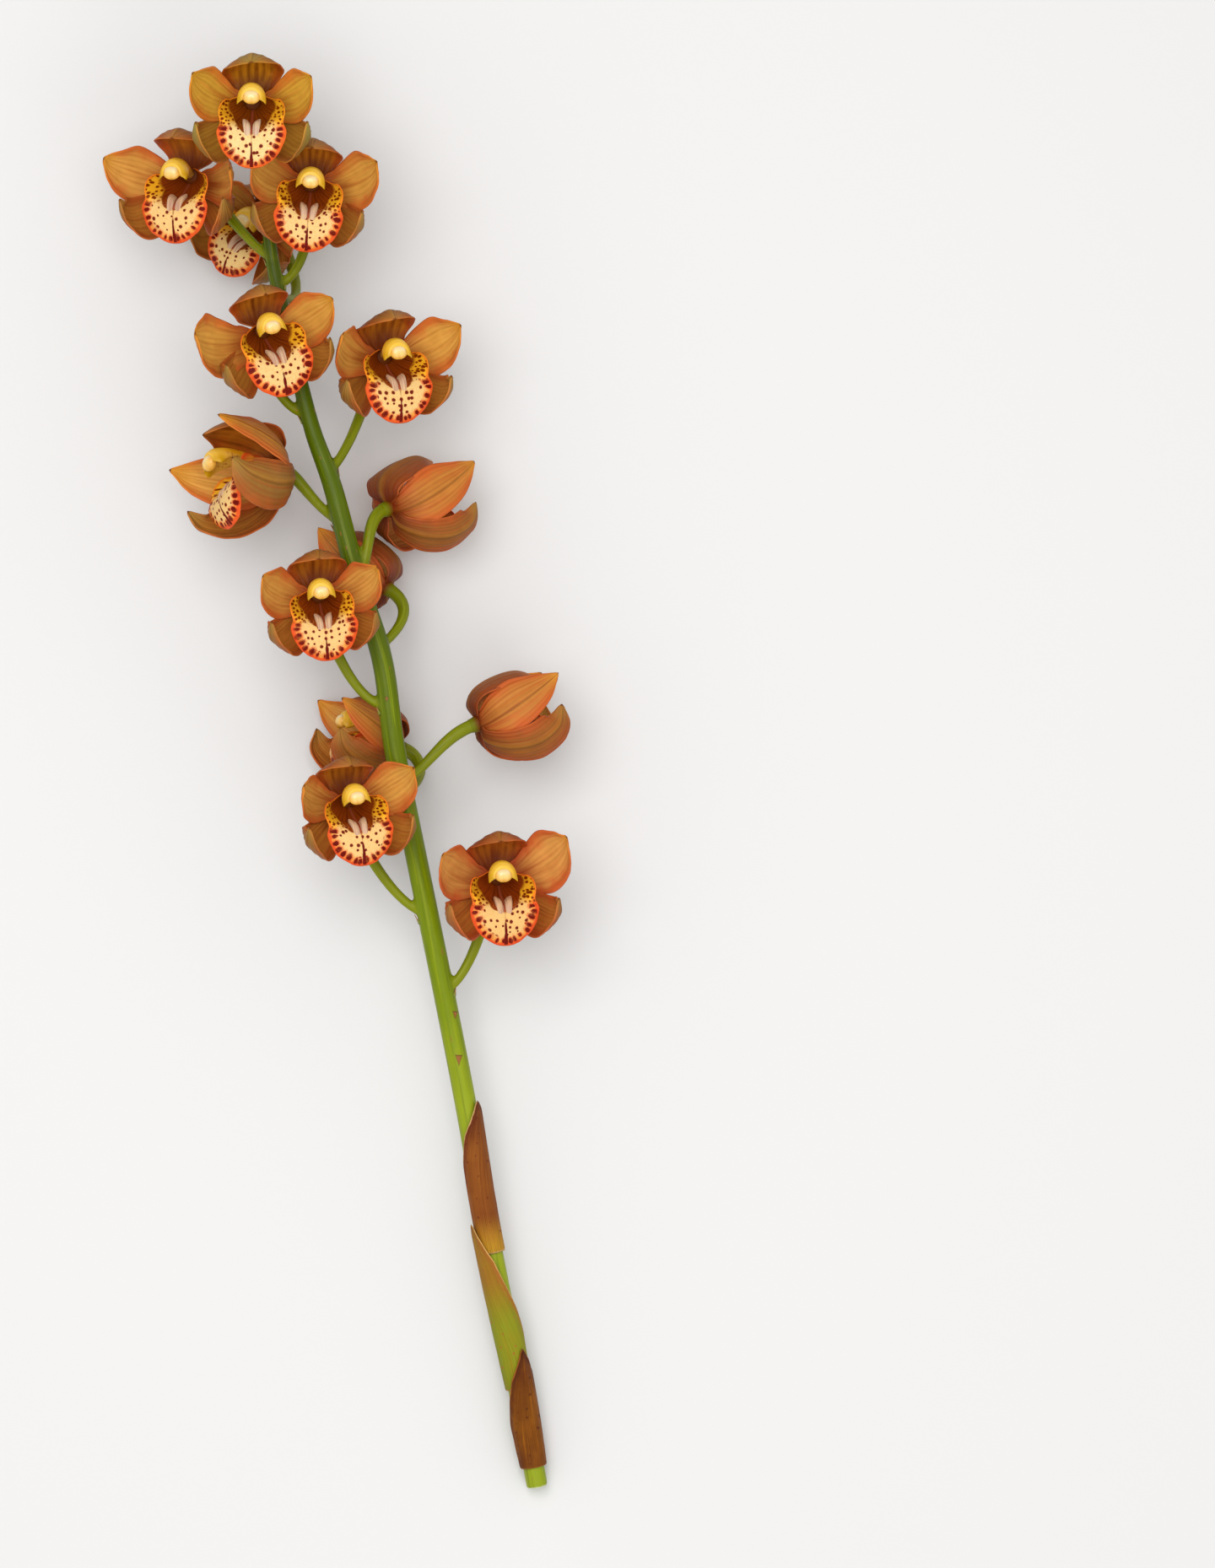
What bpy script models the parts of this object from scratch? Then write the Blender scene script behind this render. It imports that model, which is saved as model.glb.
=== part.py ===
# A cut cymbidium orchid stem that lies on its back on a flat surface.
# X is across the stem, Y runs from the cut end to the top bloom and Z is up.
# The origin is on the surface, under the middle of the stem's box.
# Sizes and places are in millimetres here, and the meshes are made in metres.

import math

import bmesh
import bpy
import numpy as np
from mathutils import Matrix, Vector

MM = 0.001
# Room between two pieces that meet, and the step along a shape that gives its slope.
GAP = 0.35
STEP = 0.004

# The rachis: place of its axis and its diameter, from the cut end to the top bloom.
RACHIS = [
    (125.3, -454.1, 7.0, 13.6),
    (117.8, -413.6, 12.1, 14.0),
    (107.7, -360.8, 19.0, 14.0),
    (93.8, -289.4, 28.0, 14.0),
    (80.5, -212.7, 37.5, 14.0),
    (66.1, -138.0, 47.0, 13.9),
    (48.5, -51.2, 57.0, 13.8),
    (35.2, 16.0, 63.0, 13.8),
    (27.2, 73.0, 67.0, 13.6),
    (11.2, 124.2, 70.0, 13.4),
    (-3.7, 181.2, 72.5, 12.4),
    (-17.6, 221.2, 74.0, 10.8),
    (-30.9, 276.1, 75.0, 9.6),
    (-42.1, 325.7, 76.0, 8.8),
    (-48.0, 382.7, 78.0, 7.0),
    (-50.6, 401.4, 79.0, 6.2),
]
SEARCH_STEPS = 40
RACHIS_SIDES = 8
RACHIS_RINGS = 18

# A flower stalk is thin at the rachis and thick at the bloom, where the ovary is.
STALK_ROOT_DIAMETER = 4.6
STALK_TOP_DIAMETER = 8.6
STALK_SIDES = 6
NEARLY_UPRIGHT = 0.2
STALK_RINGS = 5

# Each bloom: where its base is, the way it faces, its roll, its size and the depth of its
# cup, how far the cup closes (degrees), how far the left and right petals droop, where
# its stalk joins the rachis (Y), the point the stalk leaves towards and how long its
# straight end behind the bloom is.
BLOOMS = [
    {"at": (-53.8, 423.5, 101.0), "face": (0.00, -0.05, 1.00), "roll": 0, "size": 1.00, "depth": 0.85,
     "close": 0, "droop": (0, 0), "joins": 401.0, "leaves": (-52.5, 421.0, 80.0), "end": 14.0},
    {"at": (-93.7, 378.6, 66.0), "face": (-0.30, -0.08, 0.94), "roll": 0, "size": 1.00, "depth": 0.85,
     "close": 0, "droop": (8, 18), "joins": 326.7, "leaves": (-60.0, 336.0, 74.0), "end": 18.0},
    {"at": (-17.3, 372.5, 79.0), "face": (0.00, -0.08, 1.00), "roll": -4, "size": 1.00, "depth": 0.85,
     "close": 0, "droop": (0, 0), "joins": 309.7, "leaves": (-15.5, 316.0, 74.0), "end": 20.0},
    {"at": (-47.6, 352.0, 9.4), "face": (-0.40, -0.10, 0.90), "roll": -28, "size": 0.95, "depth": 0.90,
     "close": 4, "droop": (0, 0), "joins": 303.0, "leaves": (-14.0, 290.0, 12.0), "end": 14.0},
    {"at": (-48.0, 279.5, 88.0), "face": (0.22, -0.05, 0.97), "roll": 14, "size": 1.00, "depth": 0.85,
     "close": 0, "droop": (0, 0), "joins": 227.6, "leaves": (-44.0, 232.0, 70.0), "end": 20.0},
    {"at": (28.5, 264.0, 66.0), "face": (0.27, -0.05, 0.96), "roll": 4, "size": 1.00, "depth": 0.85,
     "close": 0, "droop": (0, 0), "joins": 190.8, "leaves": (14.0, 212.0, 66.0), "end": 22.0},
    {"at": (-39.0, 192.8, 66.0), "face": (-0.87, 0.00, 0.50), "roll": 28, "size": 1.10, "depth": 1.0,
     "close": 4, "droop": (0, 0), "joins": 158.8, "leaves": (-18.0, 170.0, 66.0), "end": 12.0},
    {"at": (30.5, 168.5, 54.9), "face": (0.70, 0.25, -0.62), "roll": 0, "size": 1.00, "depth": 1.0,
     "close": 8, "droop": (0, 0), "joins": 121.5, "leaves": (20.8, 138.0, 72.0), "end": 18.0},
    {"at": (-12.6, 112.5, 80.0), "face": (0.08, -0.05, 1.00), "roll": 6, "size": 0.97, "depth": 0.85,
     "close": 0, "droop": (0, 0), "joins": 42.6, "leaves": (2.0, 46.0, 66.0), "end": 24.0},
    {"at": (30.0, 118.0, 40.5), "face": (-0.80, 0.50, -0.26), "roll": 0, "size": 0.95, "depth": 1.0,
     "close": 14, "droop": (0, 0), "joins": 80.5, "leaves": (44.0, 96.0, 50.0), "end": 16.0},
    {"at": (87.4, 32.0, 58.0), "face": (0.88, 0.32, -0.20), "roll": 0, "size": 1.00, "depth": 1.0,
     "close": 14, "droop": (0, 0), "joins": -6.4, "leaves": (58.0, 6.0, 62.0), "end": 22.0},
    {"at": (36.8, 17.6, 22.0), "face": (-0.85, 0.30, 0.30), "roll": 0, "size": 0.95, "depth": 1.0,
     "close": 14, "droop": (0, 0), "joins": -11.7, "leaves": (56.0, -4.0, 30.0), "end": 16.0},
    {"at": (5.5, -17.0, 70.0), "face": (0.20, -0.05, 0.98), "roll": 8, "size": 0.97, "depth": 0.85,
     "close": 0, "droop": (0, 0), "joins": -89.0, "leaves": (26.0, -80.0, 56.0), "end": 22.0},
    {"at": (100.2, -66.0, 60.0), "face": (0.12, -0.05, 0.99), "roll": 3, "size": 1.00, "depth": 0.85,
     "close": 0, "droop": (0, -6), "joins": -137.5, "leaves": (88.0, -128.0, 52.0), "end": 22.0},
]

# A bloom's own frame has X to its right, Y up to the dorsal sepal and Z out of its face.
# A tepal has six stations from root to tip: its rib (x, y, z), its half widths on the
# side away from the lip and on the side near it, and how far its edges cup inwards.
BLADE = 0.8
TEPAL_ROWS = 5
TEPAL_COLUMNS = 3
CUP_FOCUS = (0.0, 0.0, 48.0)
DORSAL = {
    "x": (0.0, 0.0, 0.0, 0.0, 0.0, 0.0),
    "y": (2.0, 12.0, 21.0, 27.5, 30.5, 25.5),
    "z": (0.5, -3.5, 0.0, 12.0, 28.0, 42.0),
    "upper": (2.0, 14.5, 19.5, 19.0, 14.5, 0.7),
    "lower": (2.0, 14.5, 19.5, 19.0, 14.5, 0.7),
    "cup": (0.8, 2.0, 4.5, 7.0, 7.5, 0.5),
}
PETAL = {
    "x": (2.5, 13.0, 23.5, 31.5, 36.0, 37.0),
    "y": (-0.5, -0.5, 3.0, 8.0, 13.5, 17.8),
    "z": (0.8, -0.5, 6.5, 20.0, 35.0, 48.0),
    "upper": (2.0, 9.0, 14.5, 16.0, 9.0, 0.7),
    "lower": (2.0, 10.0, 16.0, 15.0, 10.0, 0.7),
    "cup": (0.5, 1.0, 1.5, 2.0, 2.0, 0.3),
}
LATERAL = {
    "x": (2.5, 11.5, 22.5, 31.5, 35.5, 34.5),
    "y": (-3.0, -10.5, -19.5, -24.5, -21.5, -11.5),
    "z": (0.5, -3.0, 5.0, 20.0, 35.5, 45.0),
    "upper": (2.0, 7.0, 10.5, 12.0, 10.0, 0.7),
    "lower": (2.0, 9.5, 16.0, 17.5, 13.0, 0.7),
    "cup": (0.8, 2.0, 3.5, 4.5, 5.0, 0.5),
}
RECEPTACLE = [(5.0, -2.0), (6.2, 3.0)]
RECEPTACLE_SIDES = 6

# The lip is one sheet from its root to its tip: ten rows with the row's place along the
# bloom, the height of its floor, its half width and rise, the angle that it wraps
# through on each side, and how far its edges stand back.
LIP_THICKNESS = 0.8
LIP_STATIONS = (0.0, 2.5, 5.0, 6.4, 7.8, 9.0)
LIP_COLUMNS = 6
LIP_SQUEEZE = 0.025
LIP = {
    "z": (3.6, 13.0, 22.0, 30.5, 36.5, 40.0, 42.5, 43.0, 41.0, 38.0),
    "floor": (-5.8, -9.0, -11.5, -13.5, -15.3, -17.6, -22.5, -28.5, -34.0, -38.6),
    "half": (4.0, 11.5, 16.5, 19.3, 20.8, 22.5, 25.7, 22.3, 16.0, 7.0),
    "rise": (2.5, 8.0, 10.5, 11.5, 12.0, 11.5, 9.5, 4.5, 2.0, 1.0),
    "wrap": (60.0, 105.0, 124.0, 127.0, 98.0, 62.0, 60.0, 60.0, 60.0, 60.0),
    "back": (0.0, 0.0, 1.0, 3.0, 3.0, 3.0, 3.5, 4.0, 3.0, 1.0),
}
LIP_SPAN = len(LIP["z"]) - 1
# The two keels stand on the lip's floor: how far they are from its middle and the lip
# station they reach, at the back and at the front, and how they swell along the way.
KEEL_BACK = (4.3, 1.8)
KEEL_FRONT = (2.4, 5.0)
KEEL_WIDTH = 3.2
KEEL_HEIGHT = 3.0
KEEL_SWELL = (0.7, 1.0, 1.0, 0.6)

# The column has six stations: place along the bloom, top, wing and underside heights
# and half width. The anther cap sits under the hood at its tip.
COLUMN = {
    "z": (3.4, 12.0, 24.0, 34.0, 41.0, 44.5),
    "top": (5.0, 8.0, 12.0, 13.2, 12.4, 9.8),
    "wing": (1.5, 3.5, 5.5, 3.5, 1.2, 8.4),
    "under": (-1.0, 1.0, 3.8, 8.0, 8.6, 8.3),
    "half": (3.4, 4.3, 6.0, 8.8, 9.2, 5.0),
}
CAP_CENTRE = (0.0, 3.8, 43.0)
CAP_RADII = (5.2, 3.9, 3.8)
CAP_SEGMENTS = 6
CAP_RINGS = 4

# The papery sheaths: rachis Y at their foot and tip, the direction that their middle
# faces (degrees from up, positive towards +X), how far they wrap (half angle at the
# foot, the middle and just under the tip) and their gap from the rachis.
SHEATH_WALL = 0.9
SHEATH_TIP_ROUNDING = 2.2
SHEATH_ROWS = 6
SHEATH_COLUMNS = 7
SHEATHS = [
    {"foot": -304.0, "tip": -208.0, "faces": 25, "wrap": (150, 120, 45), "gap": (0.8, 0.9, 1.8)},
    {"foot": -391.0, "tip": -284.0, "faces": -20, "wrap": (165, 135, 40), "gap": (0.8, 2.2, 3.2)},
    {"foot": -441.0, "tip": -366.0, "faces": 35, "wrap": (150, 110, 40), "gap": (1.0, 2.6, 5.0)},
]

COLOURS = {
    "stem": ((0.26, 0.40, 0.05, 1.0), 0.45),
    "sheath": ((0.34, 0.14, 0.05, 1.0), 0.60),
    "tepals": ((0.50, 0.17, 0.03, 1.0), 0.45),
    "lip": ((0.86, 0.62, 0.22, 1.0), 0.45),
    "column": ((0.85, 0.52, 0.06, 1.0), 0.35),
    "anther_cap": ((0.95, 0.85, 0.42, 1.0), 0.35),
}


def clear_scene():
    for thing in list(bpy.data.objects):
        bpy.data.objects.remove(thing, do_unlink=True)


def make_material(name):
    colour, roughness = COLOURS[name]
    material = bpy.data.materials.new(name)
    material.use_nodes = True
    shader = material.node_tree.nodes["Principled BSDF"]
    shader.inputs["Base Color"].default_value = colour
    shader.inputs["Roughness"].default_value = roughness
    shader.inputs["Metallic"].default_value = 0.0
    material.diffuse_color = colour
    return material


# A smooth curve through evenly spaced stations, read at a share of its length.
def read_curve(stations, share):
    last = len(stations) - 1
    place = min(max(share, 0.0), 1.0) * last
    i = min(int(place), last - 1)
    f = place - i
    b = stations[i]
    c = stations[i + 1]
    a = stations[i - 1] if i > 0 else 2 * b - c
    d = stations[i + 2] if i + 2 <= last else 2 * c - b
    slope_b = (c - a) / 2
    slope_c = (d - b) / 2
    return (
        b * (2 * f**3 - 3 * f**2 + 1)
        + slope_b * (f**3 - 2 * f**2 + f)
        + c * (3 * f**2 - 2 * f**3)
        + slope_c * (f**3 - f**2)
    )


def unit(vector):
    return vector / np.linalg.norm(vector)


def even_shares(rows):
    return [i / rows for i in range(rows + 1)]


# A point on a tepal at share s of its length and t across it, from -1 (near the lip)
# to 1. Closing turns the whole tepal towards the bloom's axis about its root.
def tepal_point(shape, side, close, droop, s, t):
    def rib(share):
        x = read_curve(shape["x"], share)
        y = read_curve(shape["y"], share)
        z = read_curve(shape["z"], share)
        return np.array([x, y, z])

    centre = rib(s)
    along = unit(rib(min(s + STEP, 1.0)) - rib(max(s - STEP, 0.0)))
    inward = np.array(CUP_FOCUS) - centre
    inward = unit(inward - along * np.dot(inward, along))
    across = np.cross(inward, along)
    if across[1] * shape["x"][3] - across[0] * shape["y"][3] < 0:
        across = -across
    half = read_curve(shape["upper"] if t > 0 else shape["lower"], s)
    point = centre + across * half * t + inward * read_curve(shape["cup"], s) * t * t
    outward = unit(np.array([shape["x"][3], shape["y"][3], 0.0]))
    root = outward * math.hypot(shape["x"][0], shape["y"][0])
    angle = math.radians(close)
    out = np.dot(point - root, outward)
    level = point[2]
    point = point + outward * (out * math.cos(angle) - level * math.sin(angle) - out)
    point[2] = level * math.cos(angle) + out * math.sin(angle)
    turn = math.radians(droop)
    x = point[0] * math.cos(turn) + point[1] * math.sin(turn)
    y = point[1] * math.cos(turn) - point[0] * math.sin(turn)
    return np.array([x * side, y, point[2]])


# A point on the lip at share s of its length and t across it.
def lip_point(s, t):
    angle = math.radians(read_curve(LIP["wrap"], s)) * t
    x = read_curve(LIP["half"], s) * math.sin(angle)
    y = read_curve(LIP["floor"], s) + read_curve(LIP["rise"], s) * (1 - math.cos(angle))
    z = read_curve(LIP["z"], s) - read_curve(LIP["back"], s) * t * t
    return np.array([x, y, z])


# A closed blade of even thickness about a sheet, with both faces split alike.
def blade_mesh(name, point, shares, columns, thickness):
    rows = len(shares) - 1
    mesh = bpy.data.meshes.new(name)
    body = bmesh.new()
    fronts = []
    backs = []
    for s in shares:
        for j in range(columns + 1):
            t = 2 * j / columns - 1
            down = point(min(s + STEP, 1.0), t) - point(max(s - STEP, 0.0), t)
            over = point(s, min(t + STEP, 1.0)) - point(s, max(t - STEP, -1.0))
            normal = unit(np.cross(down, over)) * thickness / 2
            centre = point(s, t)
            fronts.append(body.verts.new((centre + normal) * MM))
            backs.append(body.verts.new((centre - normal) * MM))

    def at(i, j):
        return i * (columns + 1) + j

    for i in range(rows):
        for j in range(columns):
            corners = (at(i, j), at(i + 1, j), at(i + 1, j + 1), at(i, j + 1))
            halves = ((0, 1, 2), (0, 2, 3)) if j < columns / 2 else ((0, 1, 3), (1, 2, 3))
            for half in halves:
                body.faces.new([fronts[corners[k]] for k in half])
                body.faces.new([backs[corners[k]] for k in reversed(half)])
    rim = [at(i, 0) for i in range(rows)]
    rim += [at(rows, j) for j in range(columns)]
    rim += [at(i, columns) for i in range(rows, 0, -1)]
    rim += [at(0, j) for j in range(columns, 0, -1)]
    for here, there in zip(rim, rim[1:] + rim[:1]):
        body.faces.new((fronts[here], backs[here], backs[there]))
        body.faces.new((fronts[here], backs[there], fronts[there]))
    bmesh.ops.recalc_face_normals(body, faces=body.faces)
    body.to_mesh(mesh)
    body.free()
    return mesh


# A closed skin over rings of points, with a cap at each end.
def ring_mesh(name, rings):
    mesh = bpy.data.meshes.new(name)
    body = bmesh.new()
    rows = [[body.verts.new(Vector(p) * MM) for p in ring] for ring in rings]
    count = len(rows[0])
    for low, high in zip(rows, rows[1:]):
        for k in range(count):
            body.faces.new((low[k], low[(k + 1) % count], high[(k + 1) % count], high[k]))
    body.faces.new(list(reversed(rows[0])))
    body.faces.new(rows[-1])
    bmesh.ops.recalc_face_normals(body, faces=body.faces)
    body.to_mesh(mesh)
    body.free()
    return mesh


def add_object(name, mesh, material, parent=None):
    thing = bpy.data.objects.new(name, mesh)
    bpy.context.collection.objects.link(thing)
    mesh.materials.clear()
    mesh.materials.append(material)
    if parent is not None:
        thing.parent = parent
    return thing


# Joins closed meshes that run into each other in one body.
def fuse(name, meshes, solver="EXACT"):
    pieces = bpy.data.collections.new(name + "_pieces")
    bpy.context.scene.collection.children.link(pieces)
    for number, mesh in enumerate(meshes[1:]):
        pieces.objects.link(bpy.data.objects.new(f"{name}_piece_{number}", mesh))
    base = bpy.data.objects.new(name + "_base", meshes[0])
    bpy.context.scene.collection.objects.link(base)
    union = base.modifiers.new("union", "BOOLEAN")
    union.operation = "UNION"
    union.operand_type = "COLLECTION"
    union.collection = pieces
    union.solver = solver
    bpy.context.view_layer.update()
    graph = bpy.context.evaluated_depsgraph_get()
    fused = bpy.data.meshes.new_from_object(base.evaluated_get(graph))
    fused.name = name
    for thing in list(pieces.objects) + [base]:
        bpy.data.objects.remove(thing, do_unlink=True)
    bpy.data.collections.remove(pieces)
    return fused


def round_ring(centre, along, radius, sides):
    along = Vector(along).normalized()
    right = along.cross(Vector((0.0, 0.0, 1.0)))
    if right.length < NEARLY_UPRIGHT:
        right = along.cross(Vector((0.0, 1.0, 0.0)))
    right.normalize()
    up = right.cross(along)
    ring = []
    for k in range(sides):
        angle = 2 * math.pi * k / sides
        offset = right * math.cos(angle) + up * math.sin(angle)
        ring.append(Vector(centre) + offset * radius)
    return ring


def rachis_at(share):
    columns = list(zip(*RACHIS))
    x, y, z, diameter = (read_curve(column, share) for column in columns)
    return Vector((x, y, z)), diameter / 2


def rachis_share(level):
    low = 0.0
    high = 1.0
    for _ in range(SEARCH_STEPS):
        middle = (low + high) / 2
        if rachis_at(middle)[0].y < level:
            low = middle
        else:
            high = middle
    return (low + high) / 2


def rachis_direction(share):
    ahead = rachis_at(min(share + STEP, 1.0))[0]
    behind = rachis_at(max(share - STEP, 0.0))[0]
    return (ahead - behind).normalized()


def rachis_mesh():
    rings = []
    for i in range(RACHIS_RINGS + 1):
        share = i / RACHIS_RINGS
        centre, radius = rachis_at(share)
        rings.append(round_ring(centre, rachis_direction(share), radius, RACHIS_SIDES))
    return ring_mesh("rachis", rings)


def bloom_axes(bloom):
    face = Vector(bloom["face"]).normalized()
    up = Vector((0.0, 1.0, 0.0))
    up = (up - face * up.dot(face)).normalized()
    right = up.cross(face)
    roll = math.radians(bloom["roll"])
    tilted = up * math.cos(roll) - right * math.sin(roll)
    return tilted.cross(face), tilted, face


def stalk_mesh(number, bloom):
    root = rachis_at(rachis_share(bloom["joins"]))[0]
    face = bloom_axes(bloom)[2]
    top = Vector(bloom["at"]) + face * (RECEPTACLE[0][1] * bloom["size"] * bloom["depth"] - GAP)
    behind = top - face * bloom["end"]
    leaves = Vector(bloom["leaves"])
    rings = []
    for i in range(STALK_RINGS + 1):
        f = i / STALK_RINGS
        g = 1 - f
        centre = root * g**3 + leaves * 3 * f * g**2 + behind * 3 * f**2 * g + top * f**3
        along = (leaves - root) * g**2 + (behind - leaves) * 2 * f * g + (top - behind) * f**2
        spread = f * f * (3 - 2 * f)
        diameter = STALK_ROOT_DIAMETER + (STALK_TOP_DIAMETER - STALK_ROOT_DIAMETER) * spread
        rings.append(round_ring(centre, along, diameter / 2, STALK_SIDES))
    return ring_mesh(f"stalk_{number}", rings)


def add_stem(material):
    meshes = [rachis_mesh()]
    for number, bloom in enumerate(BLOOMS, 1):
        meshes.append(stalk_mesh(number, bloom))
    stem = add_object("stem", fuse("stem", meshes, "MANIFOLD"), material)
    stem.data.shade_smooth()
    return stem


def sheath_mesh(name, sheath):
    foot = rachis_share(sheath["foot"])
    tip = rachis_share(sheath["tip"])
    middle_angle = math.radians(sheath["faces"])

    def point(s, t):
        share = foot + (tip - foot) * s
        centre, radius = rachis_at(share)
        along = rachis_direction(share)
        right = along.cross(Vector((0.0, 0.0, 1.0))).normalized()
        up = right.cross(along)
        narrowing = min(1.0, math.sqrt(max(1.02 - s, 0.0)) * SHEATH_TIP_ROUNDING)
        wrap = read_curve(sheath["wrap"], s) * narrowing
        angle = middle_angle + math.radians(wrap) * t
        reach = radius + read_curve(sheath["gap"], s) + SHEATH_WALL / 2
        offset = right * math.sin(angle) + up * math.cos(angle)
        return np.array(centre + offset * reach)

    return blade_mesh(name, point, even_shares(SHEATH_ROWS), SHEATH_COLUMNS, SHEATH_WALL)


def add_sheaths(material):
    for number, sheath in enumerate(SHEATHS, 1):
        name = f"sheath_{number}"
        thing = add_object(name, sheath_mesh(name, sheath), material)
        thing.data.shade_smooth()


def receptacle_mesh():
    rings = []
    for radius, z in RECEPTACLE:
        ring = []
        for k in range(RECEPTACLE_SIDES):
            angle = 2 * math.pi * (k + 0.5) / RECEPTACLE_SIDES
            ring.append((radius * math.cos(angle), radius * math.sin(angle), z))
        rings.append(ring)
    return ring_mesh("receptacle", rings)


def tepals_mesh(name, bloom):
    left, right = bloom["droop"]
    meshes = [receptacle_mesh()]
    tepals = ((DORSAL, 1, 0), (LATERAL, 1, 0), (LATERAL, -1, 0), (PETAL, 1, right), (PETAL, -1, left))
    for shape, side, droop in tepals:

        def point(s, t, shape=shape, side=side, droop=droop):
            return tepal_point(shape, side, bloom["close"], droop, s, t)

        meshes.append(blade_mesh("tepal", point, even_shares(TEPAL_ROWS), TEPAL_COLUMNS, BLADE))
    return fuse(name, meshes)


# The share across the lip at which it is x away from its middle.
def lip_share_across(s, x):
    return math.asin(x / read_curve(LIP["half"], s)) / math.radians(read_curve(LIP["wrap"], s))


def keel_mesh(side):
    rings = []
    for k, swell in enumerate(KEEL_SWELL):
        f = k / (len(KEEL_SWELL) - 1)
        s = (KEEL_BACK[1] + (KEEL_FRONT[1] - KEEL_BACK[1]) * f) / LIP_SPAN
        x = side * (KEEL_BACK[0] + (KEEL_FRONT[0] - KEEL_BACK[0]) * f)
        half = KEEL_WIDTH / 2 * swell
        left = lip_point(s, lip_share_across(s, x - half))
        right = lip_point(s, lip_share_across(s, x + half))
        crest = (left + right) / 2 + np.array([0.0, KEEL_HEIGHT * swell, 0.0])
        rings.append([left, right, crest])
    return ring_mesh("keel", rings)


def lip_mesh(name, bloom):
    shares = [station / LIP_SPAN for station in LIP_STATIONS]
    sheet = blade_mesh("lip_sheet", lip_point, shares, LIP_COLUMNS, LIP_THICKNESS)
    lip = fuse(name, [sheet, keel_mesh(1), keel_mesh(-1)], "MANIFOLD")
    squeeze = 1 - LIP_SQUEEZE * bloom["close"]
    lip.transform(Matrix.Diagonal((squeeze, squeeze, 1.0, 1.0)))
    return lip


def column_mesh(name):
    rings = []
    for k, z in enumerate(COLUMN["z"]):
        top, wing, under, half = (COLUMN[part][k] for part in ("top", "wing", "under", "half"))
        ring = []
        for angle in (0, 45, 90, 135, 180):
            x = half * math.cos(math.radians(angle))
            ring.append((x, wing + (top - wing) * math.sin(math.radians(angle)), z))
        for share in (-0.5, 0.0, 0.5):
            ring.append((half * share, under + (wing - under) * share * share, z))
        rings.append(ring)
    return ring_mesh(name, rings)


def cap_mesh(name):
    mesh = bpy.data.meshes.new(name)
    body = bmesh.new()
    bmesh.ops.create_uvsphere(body, u_segments=CAP_SEGMENTS, v_segments=CAP_RINGS, radius=MM)
    bmesh.ops.scale(body, vec=CAP_RADII, verts=body.verts)
    bmesh.ops.translate(body, vec=Vector(CAP_CENTRE) * MM, verts=body.verts)
    body.to_mesh(mesh)
    body.free()
    return mesh


def add_bloom(number, bloom, materials):
    name = f"bloom_{number:02d}"
    right, up, face = bloom_axes(bloom)
    base = bpy.data.objects.new(name, None)
    bpy.context.collection.objects.link(base)
    turn = Matrix((right, up, face)).transposed().to_4x4()
    place = Matrix.Translation(Vector(bloom["at"]) * MM)
    base.matrix_world = place @ turn
    size = bloom["size"]
    stretch = Matrix.Diagonal((size, size, size * bloom["depth"], 1.0))
    parts = {
        "tepals": tepals_mesh(name + "_tepals", bloom),
        "lip": lip_mesh(name + "_lip", bloom),
        "column": column_mesh(name + "_column"),
        "anther_cap": cap_mesh(name + "_anther_cap"),
    }
    for part, mesh in parts.items():
        mesh.transform(stretch)
        thing = add_object(f"{name}_{part}", mesh, materials[part], base)
        thing.data.shade_smooth()


def main():
    clear_scene()
    materials = {name: make_material(name) for name in COLOURS}
    add_stem(materials["stem"])
    add_sheaths(materials["sheath"])
    for number, bloom in enumerate(BLOOMS, 1):
        add_bloom(number, bloom, materials)


main()
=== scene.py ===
import math

import bmesh
import bpy
import numpy as np
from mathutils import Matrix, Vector


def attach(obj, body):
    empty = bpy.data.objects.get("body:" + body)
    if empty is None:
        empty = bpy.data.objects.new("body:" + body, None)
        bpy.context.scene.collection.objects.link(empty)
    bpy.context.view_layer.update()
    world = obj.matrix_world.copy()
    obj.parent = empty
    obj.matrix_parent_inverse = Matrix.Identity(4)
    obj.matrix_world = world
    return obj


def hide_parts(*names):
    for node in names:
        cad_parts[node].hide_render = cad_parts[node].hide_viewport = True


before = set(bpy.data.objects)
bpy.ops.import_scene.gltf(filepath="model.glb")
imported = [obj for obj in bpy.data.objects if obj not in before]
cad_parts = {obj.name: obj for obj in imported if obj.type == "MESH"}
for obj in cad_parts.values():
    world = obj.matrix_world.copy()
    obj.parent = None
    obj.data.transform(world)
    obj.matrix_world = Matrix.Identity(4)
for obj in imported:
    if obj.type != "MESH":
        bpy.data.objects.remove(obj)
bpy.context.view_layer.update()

# A cut cymbidium stem that lies on its back. Sizes are in millimetres, and the meshes in metres.
mm = 0.001

# The camera looks straight down from far away, because the photo shows almost no perspective.
photo = {
    "width": 1440,
    "height": 1859,
    "mmPerPixel": 0.533,
    "originPixel": (401, 918),  # the pixel that shows the frame's origin
    "lookAtHeight": 90,
    "distance": 9000,
    "sensor": 36,
}


def addCamera():
    data = bpy.data.cameras.new("camera")
    data.sensor_width = photo["sensor"]
    data.lens = photo["sensor"] * photo["distance"] / (photo["height"] * photo["mmPerPixel"])
    data.clip_start = 0.1
    data.clip_end = 100
    camera = bpy.data.objects.new("camera", data)
    x = (photo["width"] / 2 - photo["originPixel"][0]) * photo["mmPerPixel"]
    y = (photo["originPixel"][1] - photo["height"] / 2) * photo["mmPerPixel"]
    camera.location = Vector((x, y, photo["lookAtHeight"] + photo["distance"])) * mm
    bpy.context.scene.collection.objects.link(camera)
    bpy.context.scene.camera = camera


addCamera()
print("camera ready")


# Curves and vectors on arrays

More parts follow.
